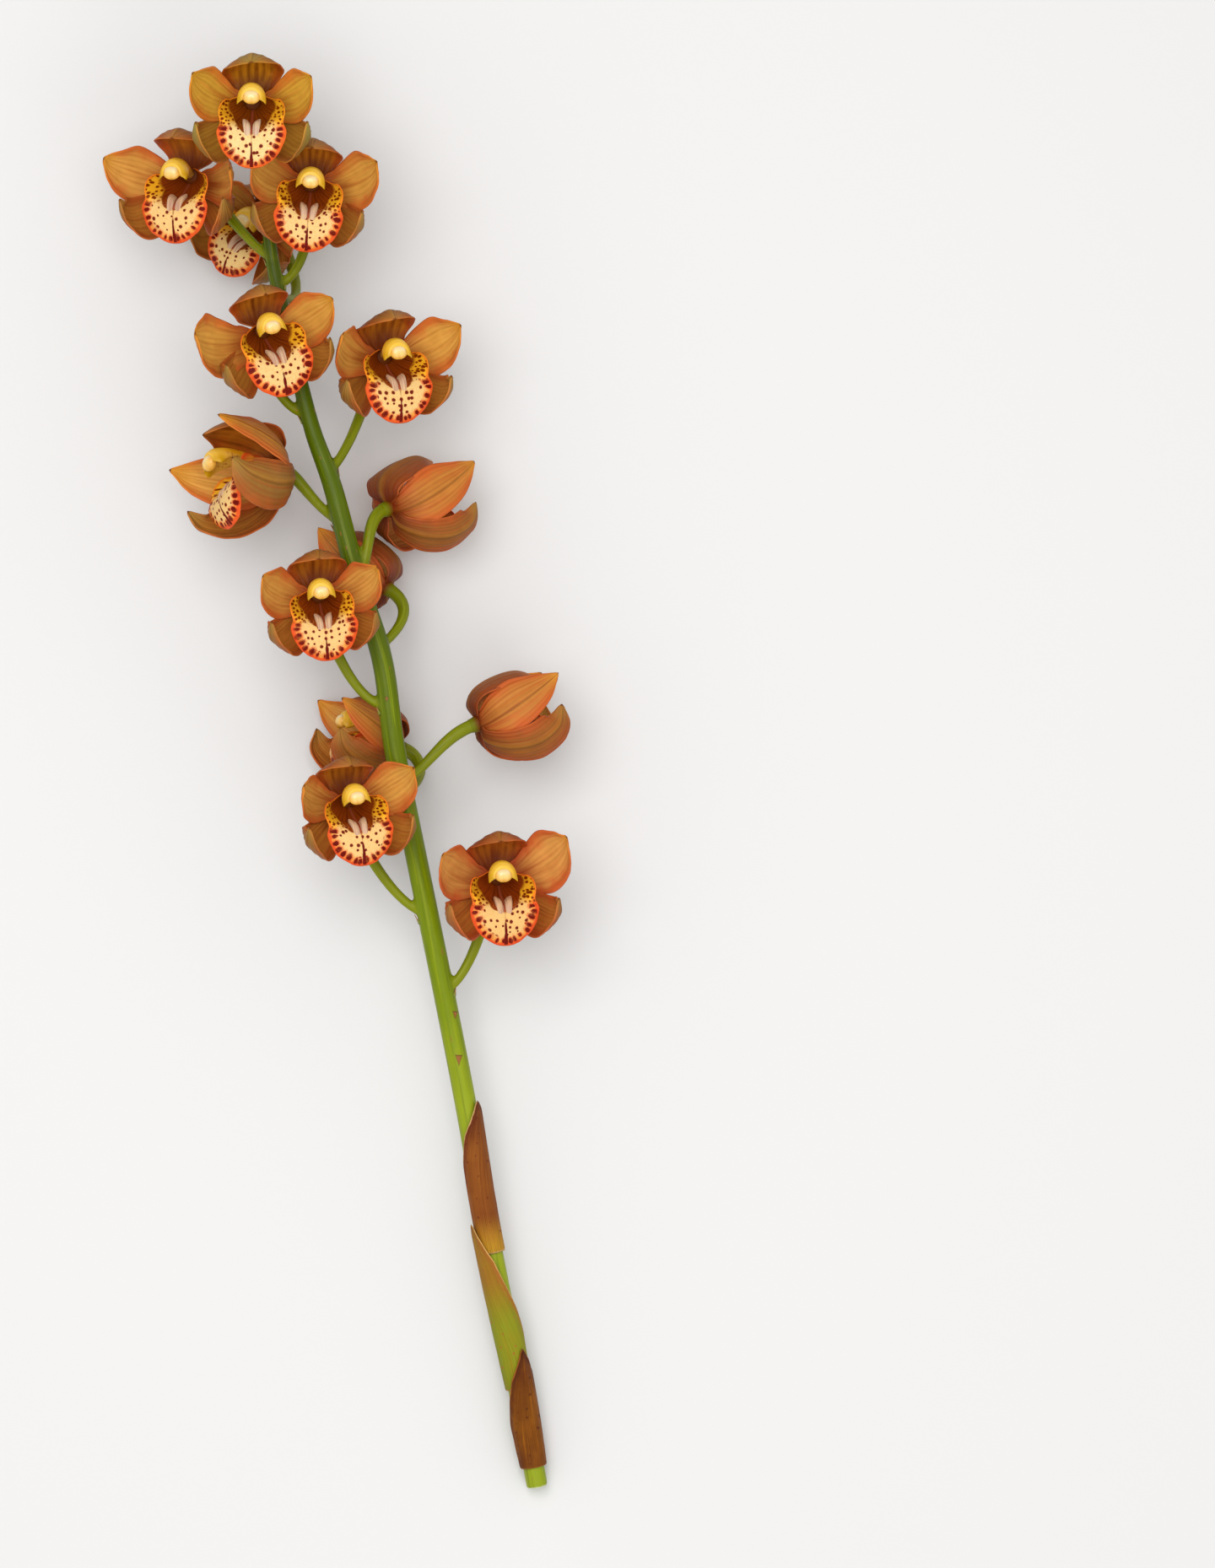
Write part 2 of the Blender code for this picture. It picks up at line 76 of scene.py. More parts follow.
def readCurve(stations, share):
    values = np.asarray(stations, float)
    last = len(values) - 1
    place = np.clip(share, 0, 1) * last
    i = np.minimum(place.astype(int), last - 1)
    f = place - i
    padded = np.concatenate([[2 * values[0] - values[1]], values, [2 * values[-1] - values[-2]]])
    a, b, c, d = padded[i], padded[i + 1], padded[i + 2], padded[i + 3]
    slopeB = (c - a) / 2
    slopeC = (d - b) / 2
    rise = b * (2 * f**3 - 3 * f**2 + 1) + c * (3 * f**2 - 2 * f**3)
    return rise + slopeB * (f**3 - 2 * f**2 + f) + slopeC * (f**3 - f**2)


def unit(vectors):
    return vectors / np.linalg.norm(vectors, axis=-1, keepdims=True)


def dot(a, b):
    return np.sum(a * b, axis=-1, keepdims=True)


def smooth(low, high, value):
    f = np.clip((value - low) / (high - low), 0, 1)
    return f * f * (3 - 2 * f)


# How far along a row of points each of them lies
def wayAlong(points):
    return np.concatenate([[0.0], np.cumsum(np.linalg.norm(np.diff(points, axis=0), axis=-1))])


# Meshes

def gridFaces(rows, columns):
    corners = np.arange((rows + 1) * (columns + 1)).reshape(rows + 1, columns + 1)
    a, b, c, d = corners[:-1, :-1], corners[:-1, 1:], corners[1:, 1:], corners[1:, :-1]
    return np.stack([a, b, c, d], axis=-1).reshape(-1, 4)


# Rings of points become a closed tube with one face at each end.
def ringFaces(rings, sides):
    faces = []
    for i in range(rings - 1):
        for k in range(sides):
            nextSide = (k + 1) % sides
            low = i * sides
            high = low + sides
            faces.append((low + k, low + nextSide, high + nextSide, high + k))
    faces.append(tuple(reversed(range(sides))))
    faces.append(tuple(range((rings - 1) * sides, rings * sides)))
    return faces


def storeValues(mesh, label, values):
    values = np.asarray(values, np.float32)
    kind, key = ("FLOAT", "value") if values.ndim == 1 else ("FLOAT_VECTOR", "vector")
    mesh.attributes.new(label, kind, "POINT").data.foreach_set(key, values.ravel())


def makeMesh(name, points, faces, attributes=None, edges=()):
    mesh = bpy.data.meshes.new(name)
    mesh.from_pydata((np.asarray(points) * mm).tolist(), edges, [tuple(face) for face in faces])
    for label, values in (attributes or {}).items():
        storeValues(mesh, label, values)
    mesh.update()
    return mesh


def joinParts(parts):
    points = []
    faces = []
    attributes = {}
    for part in parts:
        first = sum(len(p) for p in points)
        faces += [tuple(int(k) + first for k in face) for face in part["faces"]]
        points.append(part["points"])
        for label, values in part["attributes"].items():
            attributes.setdefault(label, []).append(values)
    merged = {label: np.concatenate(values) for label, values in attributes.items()}
    return np.concatenate(points), faces, merged


# Distance to the nearest place on a rim, and how far along the rim that place is.
def nearestOnRim(points, rim):
    lines = np.diff(rim, axis=0)
    lengths = np.linalg.norm(lines, axis=-1)
    way = wayAlong(rim)
    nearest = np.argmin(np.linalg.norm(points[:, None, :] - rim[None, :, :], axis=-1), axis=1)
    best = np.full(len(points), np.inf)
    place = np.zeros(len(points))
    for i in (np.maximum(nearest - 1, 0), np.minimum(nearest, len(lines) - 1)):
        share = np.clip(np.sum((points - rim[i]) * lines[i], axis=1) / lengths[i] ** 2, 0, 1)
        gap = np.linalg.norm(points - rim[i] - lines[i] * share[:, None], axis=1)
        place = np.where(gap < best, way[i] + lengths[i] * share, place)
        best = np.minimum(best, gap)
    return best, place - way[-1] / 2


def turnOutward(mesh):
    body = bmesh.new()
    body.from_mesh(mesh)
    bmesh.ops.recalc_face_normals(body, faces=body.faces)
    body.to_mesh(mesh)
    body.free()
    mesh.shade_smooth()


# All the meshes as one, in one material
def joinMeshes(name, meshes, material):
    body = bmesh.new()
    for mesh in meshes:
        body.from_mesh(mesh)
    for face in body.faces:
        face.material_index = 0
    joined = bpy.data.meshes.new(name)
    body.to_mesh(joined)
    body.free()
    joined.materials.append(material)
    joined.shade_smooth()
    return joined


# Nodes

def addNode(tree, kind, inputs=None, **settings):
    made = tree.nodes.new(kind)
    for label, value in settings.items():
        setattr(made, label, value)
    for label, value in (inputs or {}).items():
        socket = made.inputs[label]
        if isinstance(value, bpy.types.NodeSocket):
            tree.links.new(value, socket)
        else:
            socket.default_value = value
    return made


# Inputs by name: a number is the default value, and a word is the kind of socket.
def newTree(name, kind, inputs, outputs):
    tree = bpy.data.node_groups.new(name, kind)
    for label, value in inputs.items():
        if isinstance(value, str):
            tree.interface.new_socket(label, in_out="INPUT", socket_type="NodeSocket" + value)
        else:
            socketKind = "NodeSocketInt" if isinstance(value, int) else "NodeSocketFloat"
            tree.interface.new_socket(label, in_out="INPUT", socket_type=socketKind).default_value = value
    for label, socketKind in outputs.items():
        tree.interface.new_socket(label, in_out="OUTPUT", socket_type="NodeSocket" + socketKind)
    start = tree.nodes.new("NodeGroupInput")
    end = tree.nodes.new("NodeGroupOutput")
    return tree, start.outputs, end.inputs


def calc(tree, operation, a, b=0.0, c=0.0, clamp=False):
    made = addNode(tree, "ShaderNodeMath", {0: a, 1: b, 2: c}, operation=operation, use_clamp=clamp)
    return made.outputs[0]


def plus(tree, a, b):
    return calc(tree, "ADD", a, b)


def minus(tree, a, b, clamp=False):
    return calc(tree, "SUBTRACT", a, b, clamp=clamp)


def times(tree, a, b, clamp=False):
    return calc(tree, "MULTIPLY", a, b, clamp=clamp)


def timesPlus(tree, a, b, c):
    return calc(tree, "MULTIPLY_ADD", a, b, c)


# From 0 at the low end to 1 at the high end, also where low is the larger number.
def fade(tree, value, low, high):
    made = addNode(tree, "ShaderNodeMapRange", {0: value, 1: low, 2: high}, interpolation_type="SMOOTHSTEP")
    return made.outputs[0]


# 1 where a value is under a limit, with a soft edge
def within(tree, value, limit, soft):
    return fade(tree, value, plus(tree, limit, soft), minus(tree, limit, soft))


def vectorOf(tree, x, y, z=0.0):
    return addNode(tree, "ShaderNodeCombineXYZ", {0: x, 1: y, 2: z}).outputs[0]


def partsOf(tree, vector):
    return addNode(tree, "ShaderNodeSeparateXYZ", {0: vector}).outputs


def vectorCalc(tree, operation, a, b):
    return addNode(tree, "ShaderNodeVectorMath", {0: a, 1: b}, operation=operation).outputs[0]


def scaled(tree, vector, factor):
    return addNode(tree, "ShaderNodeVectorMath", {0: vector, "Scale": factor}, operation="SCALE").outputs[0]


# The place on the part in millimetres
def placeOf(tree):
    return scaled(tree, addNode(tree, "ShaderNodeTexCoord").outputs["Object"], 1 / mm)


def noise(tree, place, scale, detail=2.0, seed=0.0):
    values = {"Vector": place, "Scale": scale, "Detail": detail, "W": seed}
    return addNode(tree, "ShaderNodeTexNoise", values, noise_dimensions="4D").outputs[0]


# A value and a colour, drawn anew for each whole number
def drawFor(tree, number, seed):
    values = {"W": plus(tree, number, seed)}
    return addNode(tree, "ShaderNodeTexWhiteNoise", values, noise_dimensions="1D").outputs


def channelsOf(tree, colour):
    return addNode(tree, "ShaderNodeSeparateColor", {0: colour}).outputs


def blend(tree, factor, a, b, way="MIX"):
    made = addNode(tree, "ShaderNodeMix", {0: factor, 6: a, 7: b}, data_type="RGBA", blend_type=way)
    return made.outputs[2]


# One colour over another where a mask is 1
def layer(tree, base, colour, mask, strength=None):
    factor = mask if strength is None else times(tree, mask, strength)
    return blend(tree, factor, base, colour)


def readAttribute(tree, label):
    return addNode(tree, "ShaderNodeAttribute", attribute_name=label).outputs


def useGroup(tree, group, inputs):
    return addNode(tree, "ShaderNodeGroup", inputs, node_tree=group).outputs


# A colour as it looks on a screen, from 0 to 255, turned into the values that shaders use.
def paint(red, green, blue):
    linear = [((c / 255 + 0.055) / 1.055) ** 2.4 if c > 10 else c / 255 / 12.92 for c in (red, green, blue)]
    return (*linear, 1.0)


# Geometry Nodes trees

def namedValue(tree, label, kind="FLOAT"):
    return addNode(tree, "GeometryNodeInputNamedAttribute", {"Name": label}, data_type=kind).outputs[0]


# Every tree ends in real faces in one material.
def endTree(tree, geometry, material, end):
    real = addNode(tree, "GeometryNodeRealizeInstances", {0: geometry})
    dressed = addNode(tree, "GeometryNodeSetMaterial", {0: real.outputs[0], "Material": material})
    tree.links.new(dressed.outputs[0], end[0])
    return tree


def treeForPaths():
    tree, start, end = newTree(
        "tubesAlongPaths",
        "GeometryNodeTree",
        {"Geometry": "Geometry", "Sides": 20, "Material": "Material"},
        {"Geometry": "Geometry"},
    )
    curves = addNode(tree, "GeometryNodeMeshToCurve", {"Mesh": start["Geometry"]})
    ring = addNode(tree, "GeometryNodeCurvePrimitiveCircle", {"Resolution": start["Sides"], "Radius": 1.0})
    values = {
        "Curve": curves.outputs[0],
        "Profile Curve": ring.outputs[0],
        "Scale": namedValue(tree, "radius"),
        "Fill Caps": True,
    }
    tube = addNode(tree, "GeometryNodeCurveToMesh", values)
    return endTree(tree, tube.outputs[0], start["Material"], end)


# A bare sheet gets waved edges and its flesh: a front and a back that meet at the rim.
def treeForFlesh():
    tree, start, end = newTree(
        "fleshOnSheets",
        "GeometryNodeTree",
        {
            "Geometry": "Geometry",
            "Thickness": 0.001,
            "Wave Height": 0.001,
            "Wave Length": 0.012,
            "Seed": 0.0,
            "Material": "Material",
        },
        {"Geometry": "Geometry"},
    )
    normal = addNode(tree, "GeometryNodeInputNormal").outputs[0]
    place = addNode(tree, "GeometryNodeInputPosition").outputs[0]
    scale = calc(tree, "DIVIDE", 1.0, start["Wave Length"])
    swing = minus(tree, noise(tree, place, scale, 1.0, start["Seed"]), 0.5)
    swing = times(tree, swing, times(tree, namedValue(tree, "flutter"), start["Wave Height"]))
    values = {"Geometry": start["Geometry"], "Offset": scaled(tree, normal, swing)}
    waved = addNode(tree, "GeometryNodeSetPosition", values).outputs[0]
    half = times(tree, times(tree, namedValue(tree, "flesh"), start["Thickness"]), 0.5)
    sheets = []
    for front, way in ((1.0, 1.0), (0.0, -1.0)):
        shift = scaled(tree, normal, times(tree, half, way))
        moved = addNode(tree, "GeometryNodeSetPosition", {"Geometry": waved, "Offset": shift}).outputs[0]
        if not front:
            moved = addNode(tree, "GeometryNodeFlipFaces", {"Mesh": moved}).outputs[0]
        values = {"Geometry": moved, "Name": "front", "Value": front}
        marked = addNode(tree, "GeometryNodeStoreNamedAttribute", values, data_type="FLOAT", domain="POINT")
        sheets.append(marked.outputs[0])
    both = tree.nodes.new("GeometryNodeJoinGeometry")
    for sheet in sheets:
        tree.links.new(sheet, both.inputs[0])
    closed = addNode(tree, "GeometryNodeMergeByDistance", {"Geometry": both.outputs[0], "Distance": 0.00001})
    soft = addNode(tree, "GeometryNodeSetShadeSmooth", {0: closed.outputs[0]})
    return endTree(tree, soft.outputs[0], start["Material"], end)


# One bract at each joint, turned by the joint's own axes.
def treeForBracts():
    tree, start, end = newTree(
        "bractsAtJoints",
        "GeometryNodeTree",
        {
            "Geometry": "Geometry",
            "Bract": "Object",
            "Smallest": 0.8,
            "Largest": 1.2,
            "Seed": 0,
            "Material": "Material",
        },
        {"Geometry": "Geometry"},
    )
    shape = addNode(tree, "GeometryNodeObjectInfo", {"Object": start["Bract"]}).outputs["Geometry"]
    axes = {0: namedValue(tree, "outward", "FLOAT_VECTOR"), 1: namedValue(tree, "upward", "FLOAT_VECTOR")}
    turn = addNode(tree, "FunctionNodeAxesToRotation", axes, primary_axis="Z", secondary_axis="Y")
    sizes = {2: start["Smallest"], 3: start["Largest"], "Seed": start["Seed"]}
    size = addNode(tree, "FunctionNodeRandomValue", sizes, data_type="FLOAT")
    values = {
        "Points": start["Geometry"],
        "Instance": shape,
        "Rotation": turn.outputs[0],
        "Scale": size.outputs[1],
    }
    copies = addNode(tree, "GeometryNodeInstanceOnPoints", values)
    return endTree(tree, copies.outputs[0], start["Material"], end)


# Runs a tree on a bare mesh and keeps the result as a plain mesh.
def runTree(name, mesh, tree, values):
    thing = bpy.data.objects.new(name, mesh)
    bpy.context.scene.collection.objects.link(thing)
    modifier = thing.modifiers.new("nodes", "NODES")
    modifier.node_group = tree
    for item in tree.interface.items_tree:
        if item.item_type == "SOCKET" and item.in_out == "INPUT" and item.name in values:
            modifier[item.identifier] = values[item.name]
    return keepResult(thing)


def keepResult(thing):
    bpy.context.view_layer.update()
    graph = bpy.context.evaluated_depsgraph_get()
    result = bpy.data.meshes.new_from_object(thing.evaluated_get(graph), depsgraph=graph)
    result.name = thing.name
    bpy.data.objects.remove(thing, do_unlink=True)
    return result


def addPiece(name, mesh, slot, *nodes):
    piece = bpy.data.objects.new(name, mesh)
    bpy.context.scene.collection.objects.link(piece)
    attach(piece, "root")
    if nodes:
        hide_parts(*nodes)
    return piece


# Shader groups that several materials share

# Lines that run along a blade. Across goes from -1 to 1 and Along from 0 to 1.
def groupForVeins():
    tree, start, end = newTree(
        "veins",
        "ShaderNodeTree",
        {"Across": 0.0, "Along": 0.0, "Count": 9.0, "Width": 0.3, "Waver": 0.3, "Seed": 0.0},
        {"Lines": "Float"},
    )
    place = vectorOf(tree, times(tree, start["Across"], 1.5), times(tree, start["Along"], 3.0))
    waver = minus(tree, noise(tree, place, 1.0, 1.0, start["Seed"]), 0.5)
    waver = times(tree, waver, times(tree, start["Waver"], 2.0))
    row = timesPlus(tree, start["Across"], times(tree, start["Count"], 0.5), waver)
    number = calc(tree, "FLOOR", row)
    gap = calc(tree, "ABSOLUTE", minus(tree, minus(tree, row, number), 0.5))
    line = fade(tree, gap, start["Width"], 0.0)
    strength = timesPlus(tree, drawFor(tree, number, start["Seed"])[0], 0.65, 0.35)
    length = vectorOf(tree, number, times(tree, start["Along"], 4.0))
    breaks = fade(tree, noise(tree, length, 1.0, 2.0, start["Seed"]), 0.25, 0.55)
    tree.links.new(times(tree, times(tree, line, strength), breaks), end[0])
    return tree


# Loose spots in a field measured in millimetres. Size is a share of a cell.
def groupForSpots():
    tree, start, end = newTree(
        "spots",
        "ShaderNodeTree",
        {"Place": "Vector", "Cell": 4.0, "Size": 0.2, "Chance": 0.7, "Seed": 0.0},
        {"Spots": "Float", "Halo": "Float"},
    )
    apart = times(tree, start["Seed"], 31.7)
    place = vectorCalc(tree, "ADD", start["Place"], vectorOf(tree, apart, apart))
    values = {"Vector": place, "Scale": calc(tree, "DIVIDE", 1.0, start["Cell"]), "Randomness": 0.75}
    cells = addNode(tree, "ShaderNodeTexVoronoi", values, voronoi_dimensions="2D").outputs
    wobble = minus(tree, noise(tree, start["Place"], 0.9, 1.0, start["Seed"]), 0.5)
    reach = timesPlus(tree, wobble, 0.16, cells["Distance"])
    draws = channelsOf(tree, cells["Color"])
    size = times(tree, start["Size"], timesPlus(tree, draws[1], 0.7, 0.6))
    spot = fade(tree, reach, size, times(tree, size, 0.75))
    halo = fade(tree, reach, times(tree, size, 1.5), times(tree, size, 0.8))
    kept = calc(tree, "LESS_THAN", draws[0], start["Chance"])
    tree.links.new(times(tree, spot, kept), end[0])
    tree.links.new(times(tree, halo, kept), end[1])
    return tree


# One row of large spots that follows a rim. The lengths are in millimetres.
def groupForRimSpots():
    tree, start, end = newTree(
        "rimSpots",
        "ShaderNodeTree",
        {
            "Way": 0.0,
            "Distance": 0.0,
            "Spacing": 4.0,
            "Row": 4.0,
            "Size": 1.4,
            "Stretch": 1.3,
            "Seed": 0.0,
        },
        {"Spots": "Float", "Halo": "Float"},
    )
    place = calc(tree, "DIVIDE", start["Way"], start["Spacing"])
    number = calc(tree, "FLOOR", place)
    draws = channelsOf(tree, drawFor(tree, number, start["Seed"])["Color"])
    middle = timesPlus(tree, draws[0], 0.4, 0.3)
    x = times(tree, minus(tree, minus(tree, place, number), middle), start["Spacing"])
    row = plus(tree, start["Row"], timesPlus(tree, draws[1], 1.6, -0.8))
    y = calc(tree, "DIVIDE", minus(tree, start["Distance"], row), start["Stretch"])
    reach = calc(tree, "SQRT", timesPlus(tree, x, x, times(tree, y, y)))
    warp = noise(tree, vectorOf(tree, start["Way"], start["Distance"]), 0.6, 1.0, start["Seed"])
    reach = timesPlus(tree, minus(tree, warp, 0.5), 1.2, reach)
    size = times(tree, start["Size"], timesPlus(tree, draws[2], 0.6, 0.65))
    tree.links.new(fade(tree, reach, size, times(tree, size, 0.7)), end[0])
    tree.links.new(fade(tree, reach, times(tree, size, 1.6), times(tree, size, 0.8)), end[1])
    return tree


# Soft unevenness at two sizes: Patches for colour and Grain for fine relief.
def groupForMottle():
    tree, start, end = newTree(
        "mottle",
        "ShaderNodeTree",
        {"Place": "Vector", "Patch Size": 8.0, "Grain Size": 0.5, "Seed": 0.0},
        {"Patches": "Float", "Grain": "Float"},
    )
    patches = noise(tree, start["Place"], calc(tree, "DIVIDE", 1.0, start["Patch Size"]), 3.0, start["Seed"])
    grain = noise(tree, start["Place"], calc(tree, "DIVIDE", 1.0, start["Grain Size"]), 2.0, start["Seed"])
    tree.links.new(fade(tree, patches, 0.25, 0.75), end[0])
    tree.links.new(grain, end[1])
    return tree


veins = groupForVeins()
spots = groupForSpots()
rimSpots = groupForRimSpots()
mottle = groupForMottle()


def startMaterial(name, roughness, **sockets):
    material = bpy.data.materials.new(name)
    material.use_nodes = True
    tree = material.node_tree
    shader = tree.nodes["Principled BSDF"]
    shader.inputs["Roughness"].default_value = roughness
    for label, value in sockets.items():
        shader.inputs[label].default_value = value
    return material, tree, shader


def addBump(tree, shader, height, distance, strength=1.0):
    values = {"Strength": strength, "Distance": distance * mm, "Height": height}
    bump = addNode(tree, "ShaderNodeBump", values)
    tree.links.new(bump.outputs[0], shader.inputs["Normal"])


# The stem: the rachis and the stalks that carry the blooms

slopeStep = 0.004  # share of a shape's length over which its slope is read

stem = {
    # place of the rachis' axis (x, y, z) and its diameter, from the cut end to the top bloom
    "axis": [
        (125.3, -454.1, 7.0, 13.6),
        (117.8, -413.6, 12.1, 14.0),
        (107.7, -360.8, 19.0, 14.0),
        (93.8, -289.4, 28.0, 14.0),
        (80.5, -212.7, 37.5, 14.0),
        (66.1, -138.0, 47.0, 13.9),
        (48.5, -51.2, 57.0, 13.8),
        (35.2, 16.0, 63.0, 13.8),
        (27.2, 73.0, 67.0, 13.6),
        (11.2, 124.2, 70.0, 13.4),
        (-3.7, 181.2, 72.5, 12.4),
        (-17.6, 221.2, 74.0, 10.8),
        (-30.9, 276.1, 75.0, 9.6),
        (-42.1, 325.7, 76.0, 8.8),
        (-48.0, 382.7, 78.0, 7.0),
        (-50.6, 401.4, 79.0, 6.2),
    ],
    "rachisPoints": 290,
    "stalkPoints": 40,
    "stalkRoot": 6.0,
    "stalkTop": 8.6,
    "stalkGap": 0.35,
    "behindBase": 2.0,  # how far behind a bloom's base its stalk ends
    "sides": 20,
    "voxel": 1.1,
    "smoothing": 4,
    "pathShift": 37.0,  # keeps the grain of one stalk from lining up with the next
    "jointBlend": 2.5,
    "cutFace": (0.9, 0.3),  # how far up the stem the cut's colour starts and is full
}

# Each bloom: place of its base, the way it faces, where its stalk joins the rachis and leaves towards, the
# stalk's straight end, and its colour from golden (0) to rust (1). A row also gives what isn't as on a plain
# bloom: roll, size, the cup's depth, how far it closes, and droop and length of the left and right petals.
plainBloom = {"roll": 0, "size": 1.0, "depth": 0.85, "close": 0, "droop": (0, 0), "petals": (1, 1)}
bloomRows = [
    {"at": (-53.8, 423.5, 101.0), "face": (0.00, -0.05, 1.00), "joins": 401.0, "leaves": (-52.5, 421.0, 80.0),
     "end": 14, "tint": 0.00},
    {"at": (-93.7, 378.6, 66.0), "face": (-0.30, -0.08, 0.94), "joins": 326.7, "leaves": (-60.0, 336.0, 74.0),
     "end": 18, "tint": 0.65, "droop": (8, 18), "petals": (1.12, 1)},
    {"at": (-17.3, 372.5, 79.0), "face": (0.00, -0.08, 1.00), "joins": 309.7, "leaves": (-15.5, 316.0, 74.0),
     "end": 20, "tint": 0.50, "roll": -4, "petals": (1, 1.1)},
    {"at": (-47.6, 352.0, 9.4), "face": (-0.40, -0.10, 0.90), "joins": 303.0, "leaves": (-14.0, 290.0, 12.0),
     "end": 14, "tint": 0.40, "roll": -28, "size": 0.95, "depth": 0.90, "close": 4},
    {"at": (-48.0, 279.5, 88.0), "face": (0.22, -0.05, 0.97), "joins": 227.6, "leaves": (-44.0, 232.0, 70.0),
     "end": 20, "tint": 0.50, "roll": 14, "droop": (13, 8), "petals": (1.28, 1.04)},
    {"at": (28.5, 264.0, 66.0), "face": (0.27, -0.05, 0.96), "joins": 190.8, "leaves": (14.0, 212.0, 66.0),
     "end": 22, "tint": 0.55, "roll": 4, "petals": (1, 1.12)},
    {"at": (-39.0, 192.8, 66.0), "face": (-0.87, 0.00, 0.50), "joins": 158.8, "leaves": (-18.0, 170.0, 66.0),
     "end": 12, "tint": 0.60, "roll": 28, "size": 1.10, "depth": 1.00, "close": 4},
    {"at": (30.5, 168.5, 54.9), "face": (0.70, 0.25, -0.62), "joins": 121.5, "leaves": (20.8, 138.0, 72.0),
     "end": 18, "tint": 0.80, "depth": 1.00, "close": 8},
    {"at": (-12.6, 112.5, 80.0), "face": (0.08, -0.05, 1.00), "joins": 42.6, "leaves": (2.0, 46.0, 66.0),
     "end": 24, "tint": 0.65, "roll": 6, "size": 0.97},
    {"at": (30.0, 118.0, 40.5), "face": (-0.80, 0.50, -0.26), "joins": 80.5, "leaves": (44.0, 96.0, 50.0),
     "end": 16, "tint": 0.90, "size": 0.95, "depth": 1.00, "close": 14},
    {"at": (87.4, 32.0, 58.0), "face": (0.88, 0.32, -0.20), "joins": -6.4, "leaves": (58.0, 6.0, 62.0),
     "end": 22, "tint": 0.85, "depth": 1.00, "close": 14},
    {"at": (36.8, 17.6, 22.0), "face": (-0.85, 0.30, 0.30), "joins": -11.7, "leaves": (56.0, -4.0, 30.0),
     "end": 16, "tint": 0.80, "size": 0.95, "depth": 1.00, "close": 14},
    {"at": (5.5, -17.0, 70.0), "face": (0.20, -0.05, 0.98), "joins": -89.0, "leaves": (26.0, -80.0, 56.0),
     "end": 22, "tint": 0.60, "roll": 8, "size": 0.97, "petals": (0.94, 1.06)},
    {"at": (100.2, -66.0, 60.0), "face": (0.12, -0.05, 0.99), "joins": -137.5, "leaves": (88.0, -128.0, 52.0),
     "end": 22, "tint": 0.90, "roll": 3, "droop": (0, -6), "petals": (1.06, 1.22)},
]
blooms = [{"number": number, **plainBloom, **row} for number, row in enumerate(bloomRows, 1)]


def axisAt(share):
    columns = np.array(stem["axis"]).T
    centre = np.stack([readCurve(column, share) for column in columns[:3]], axis=-1)
    return centre, readCurve(columns[3], share) / 2


def axisDirection(share):
    return unit(axisAt(np.minimum(share + slopeStep, 1))[0] - axisAt(np.maximum(share - slopeStep, 0))[0])


def shareAtLevel(level):
    shares = np.linspace(0, 1, 4001)
    return np.interp(level, axisAt(shares)[0][:, 1], shares)


# The bloom's own X, Y and Z as the columns of a matrix
def bloomTurn(bloom):
    face = unit(np.array(bloom["face"]))
    up = np.array([0.0, 1.0, 0.0])
    up = unit(up - face * (up @ face))
    right = np.cross(up, face)
    roll = math.radians(bloom["roll"])
    tilted = up * math.cos(roll) - right * math.sin(roll)
    return np.stack([np.cross(tilted, face), tilted, face], axis=1)


def onBloom(points, bloom):
    stretch = np.array([1.0, 1.0, bloom["depth"]]) * bloom["size"]
    return np.array(bloom["at"]) + (points * stretch) @ bloomTurn(bloom).T


def rachisPath():
    return axisAt(np.linspace(0, 1, stem["rachisPoints"]))


def stalkPath(bloom):
    root = axisAt(shareAtLevel(bloom["joins"]))[0]
    face = bloomTurn(bloom)[:, 2]
    reach = stem["behindBase"] * bloom["size"] * bloom["depth"] + stem["stalkGap"]
    top = np.array(bloom["at"]) - face * reach
    behind = top - face * bloom["end"]
    leaves = np.array(bloom["leaves"])
    f = np.linspace(0, 1, stem["stalkPoints"])[:, None]
    g = 1 - f
    centre = root * g**3 + leaves * 3 * f * g**2 + behind * 3 * f**2 * g + top * f**3
    radius = (stem["stalkRoot"] + (stem["stalkTop"] - stem["stalkRoot"]) * smooth(0, 1, f[:, 0])) / 2
    return centre, radius


# Two directions across each point of a path, which turn with the path and never flip
def pathFrames(centre):
    along = unit(np.gradient(centre, axis=0))
    right = np.zeros_like(along)
    side = np.array([1.0, 0.0, 0.0])
    for i, direction in enumerate(along):
        side = side - direction * (side @ direction)
        side = side / np.linalg.norm(side)
        right[i] = side
    return right, np.cross(right, along)


def stemMesh(paths, material):
    points = np.concatenate([centre for centre, _ in paths])
    radii = np.concatenate([radius for _, radius in paths])
    edges = []
    first = 0
    for centre, _ in paths:
        edges += [(first + i, first + i + 1) for i in range(len(centre) - 1)]
        first += len(centre)
    bare = makeMesh("stemPaths", points, [], {"radius": radii * mm}, edges)
    tubes = runTree("stemTubes", bare, pathTree, {"Sides": stem["sides"], "Material": material})
    thing = bpy.data.objects.new("stemSkin", tubes)
    bpy.context.scene.collection.objects.link(thing)
    fused = thing.modifiers.new("fused", "REMESH")
    fused.mode = "VOXEL"
    fused.voxel_size = stem["voxel"] * mm
    fused.use_smooth_shade = True
    softer = thing.modifiers.new("softer", "SMOOTH")
    softer.iterations = stem["smoothing"]
    return keepResult(thing)


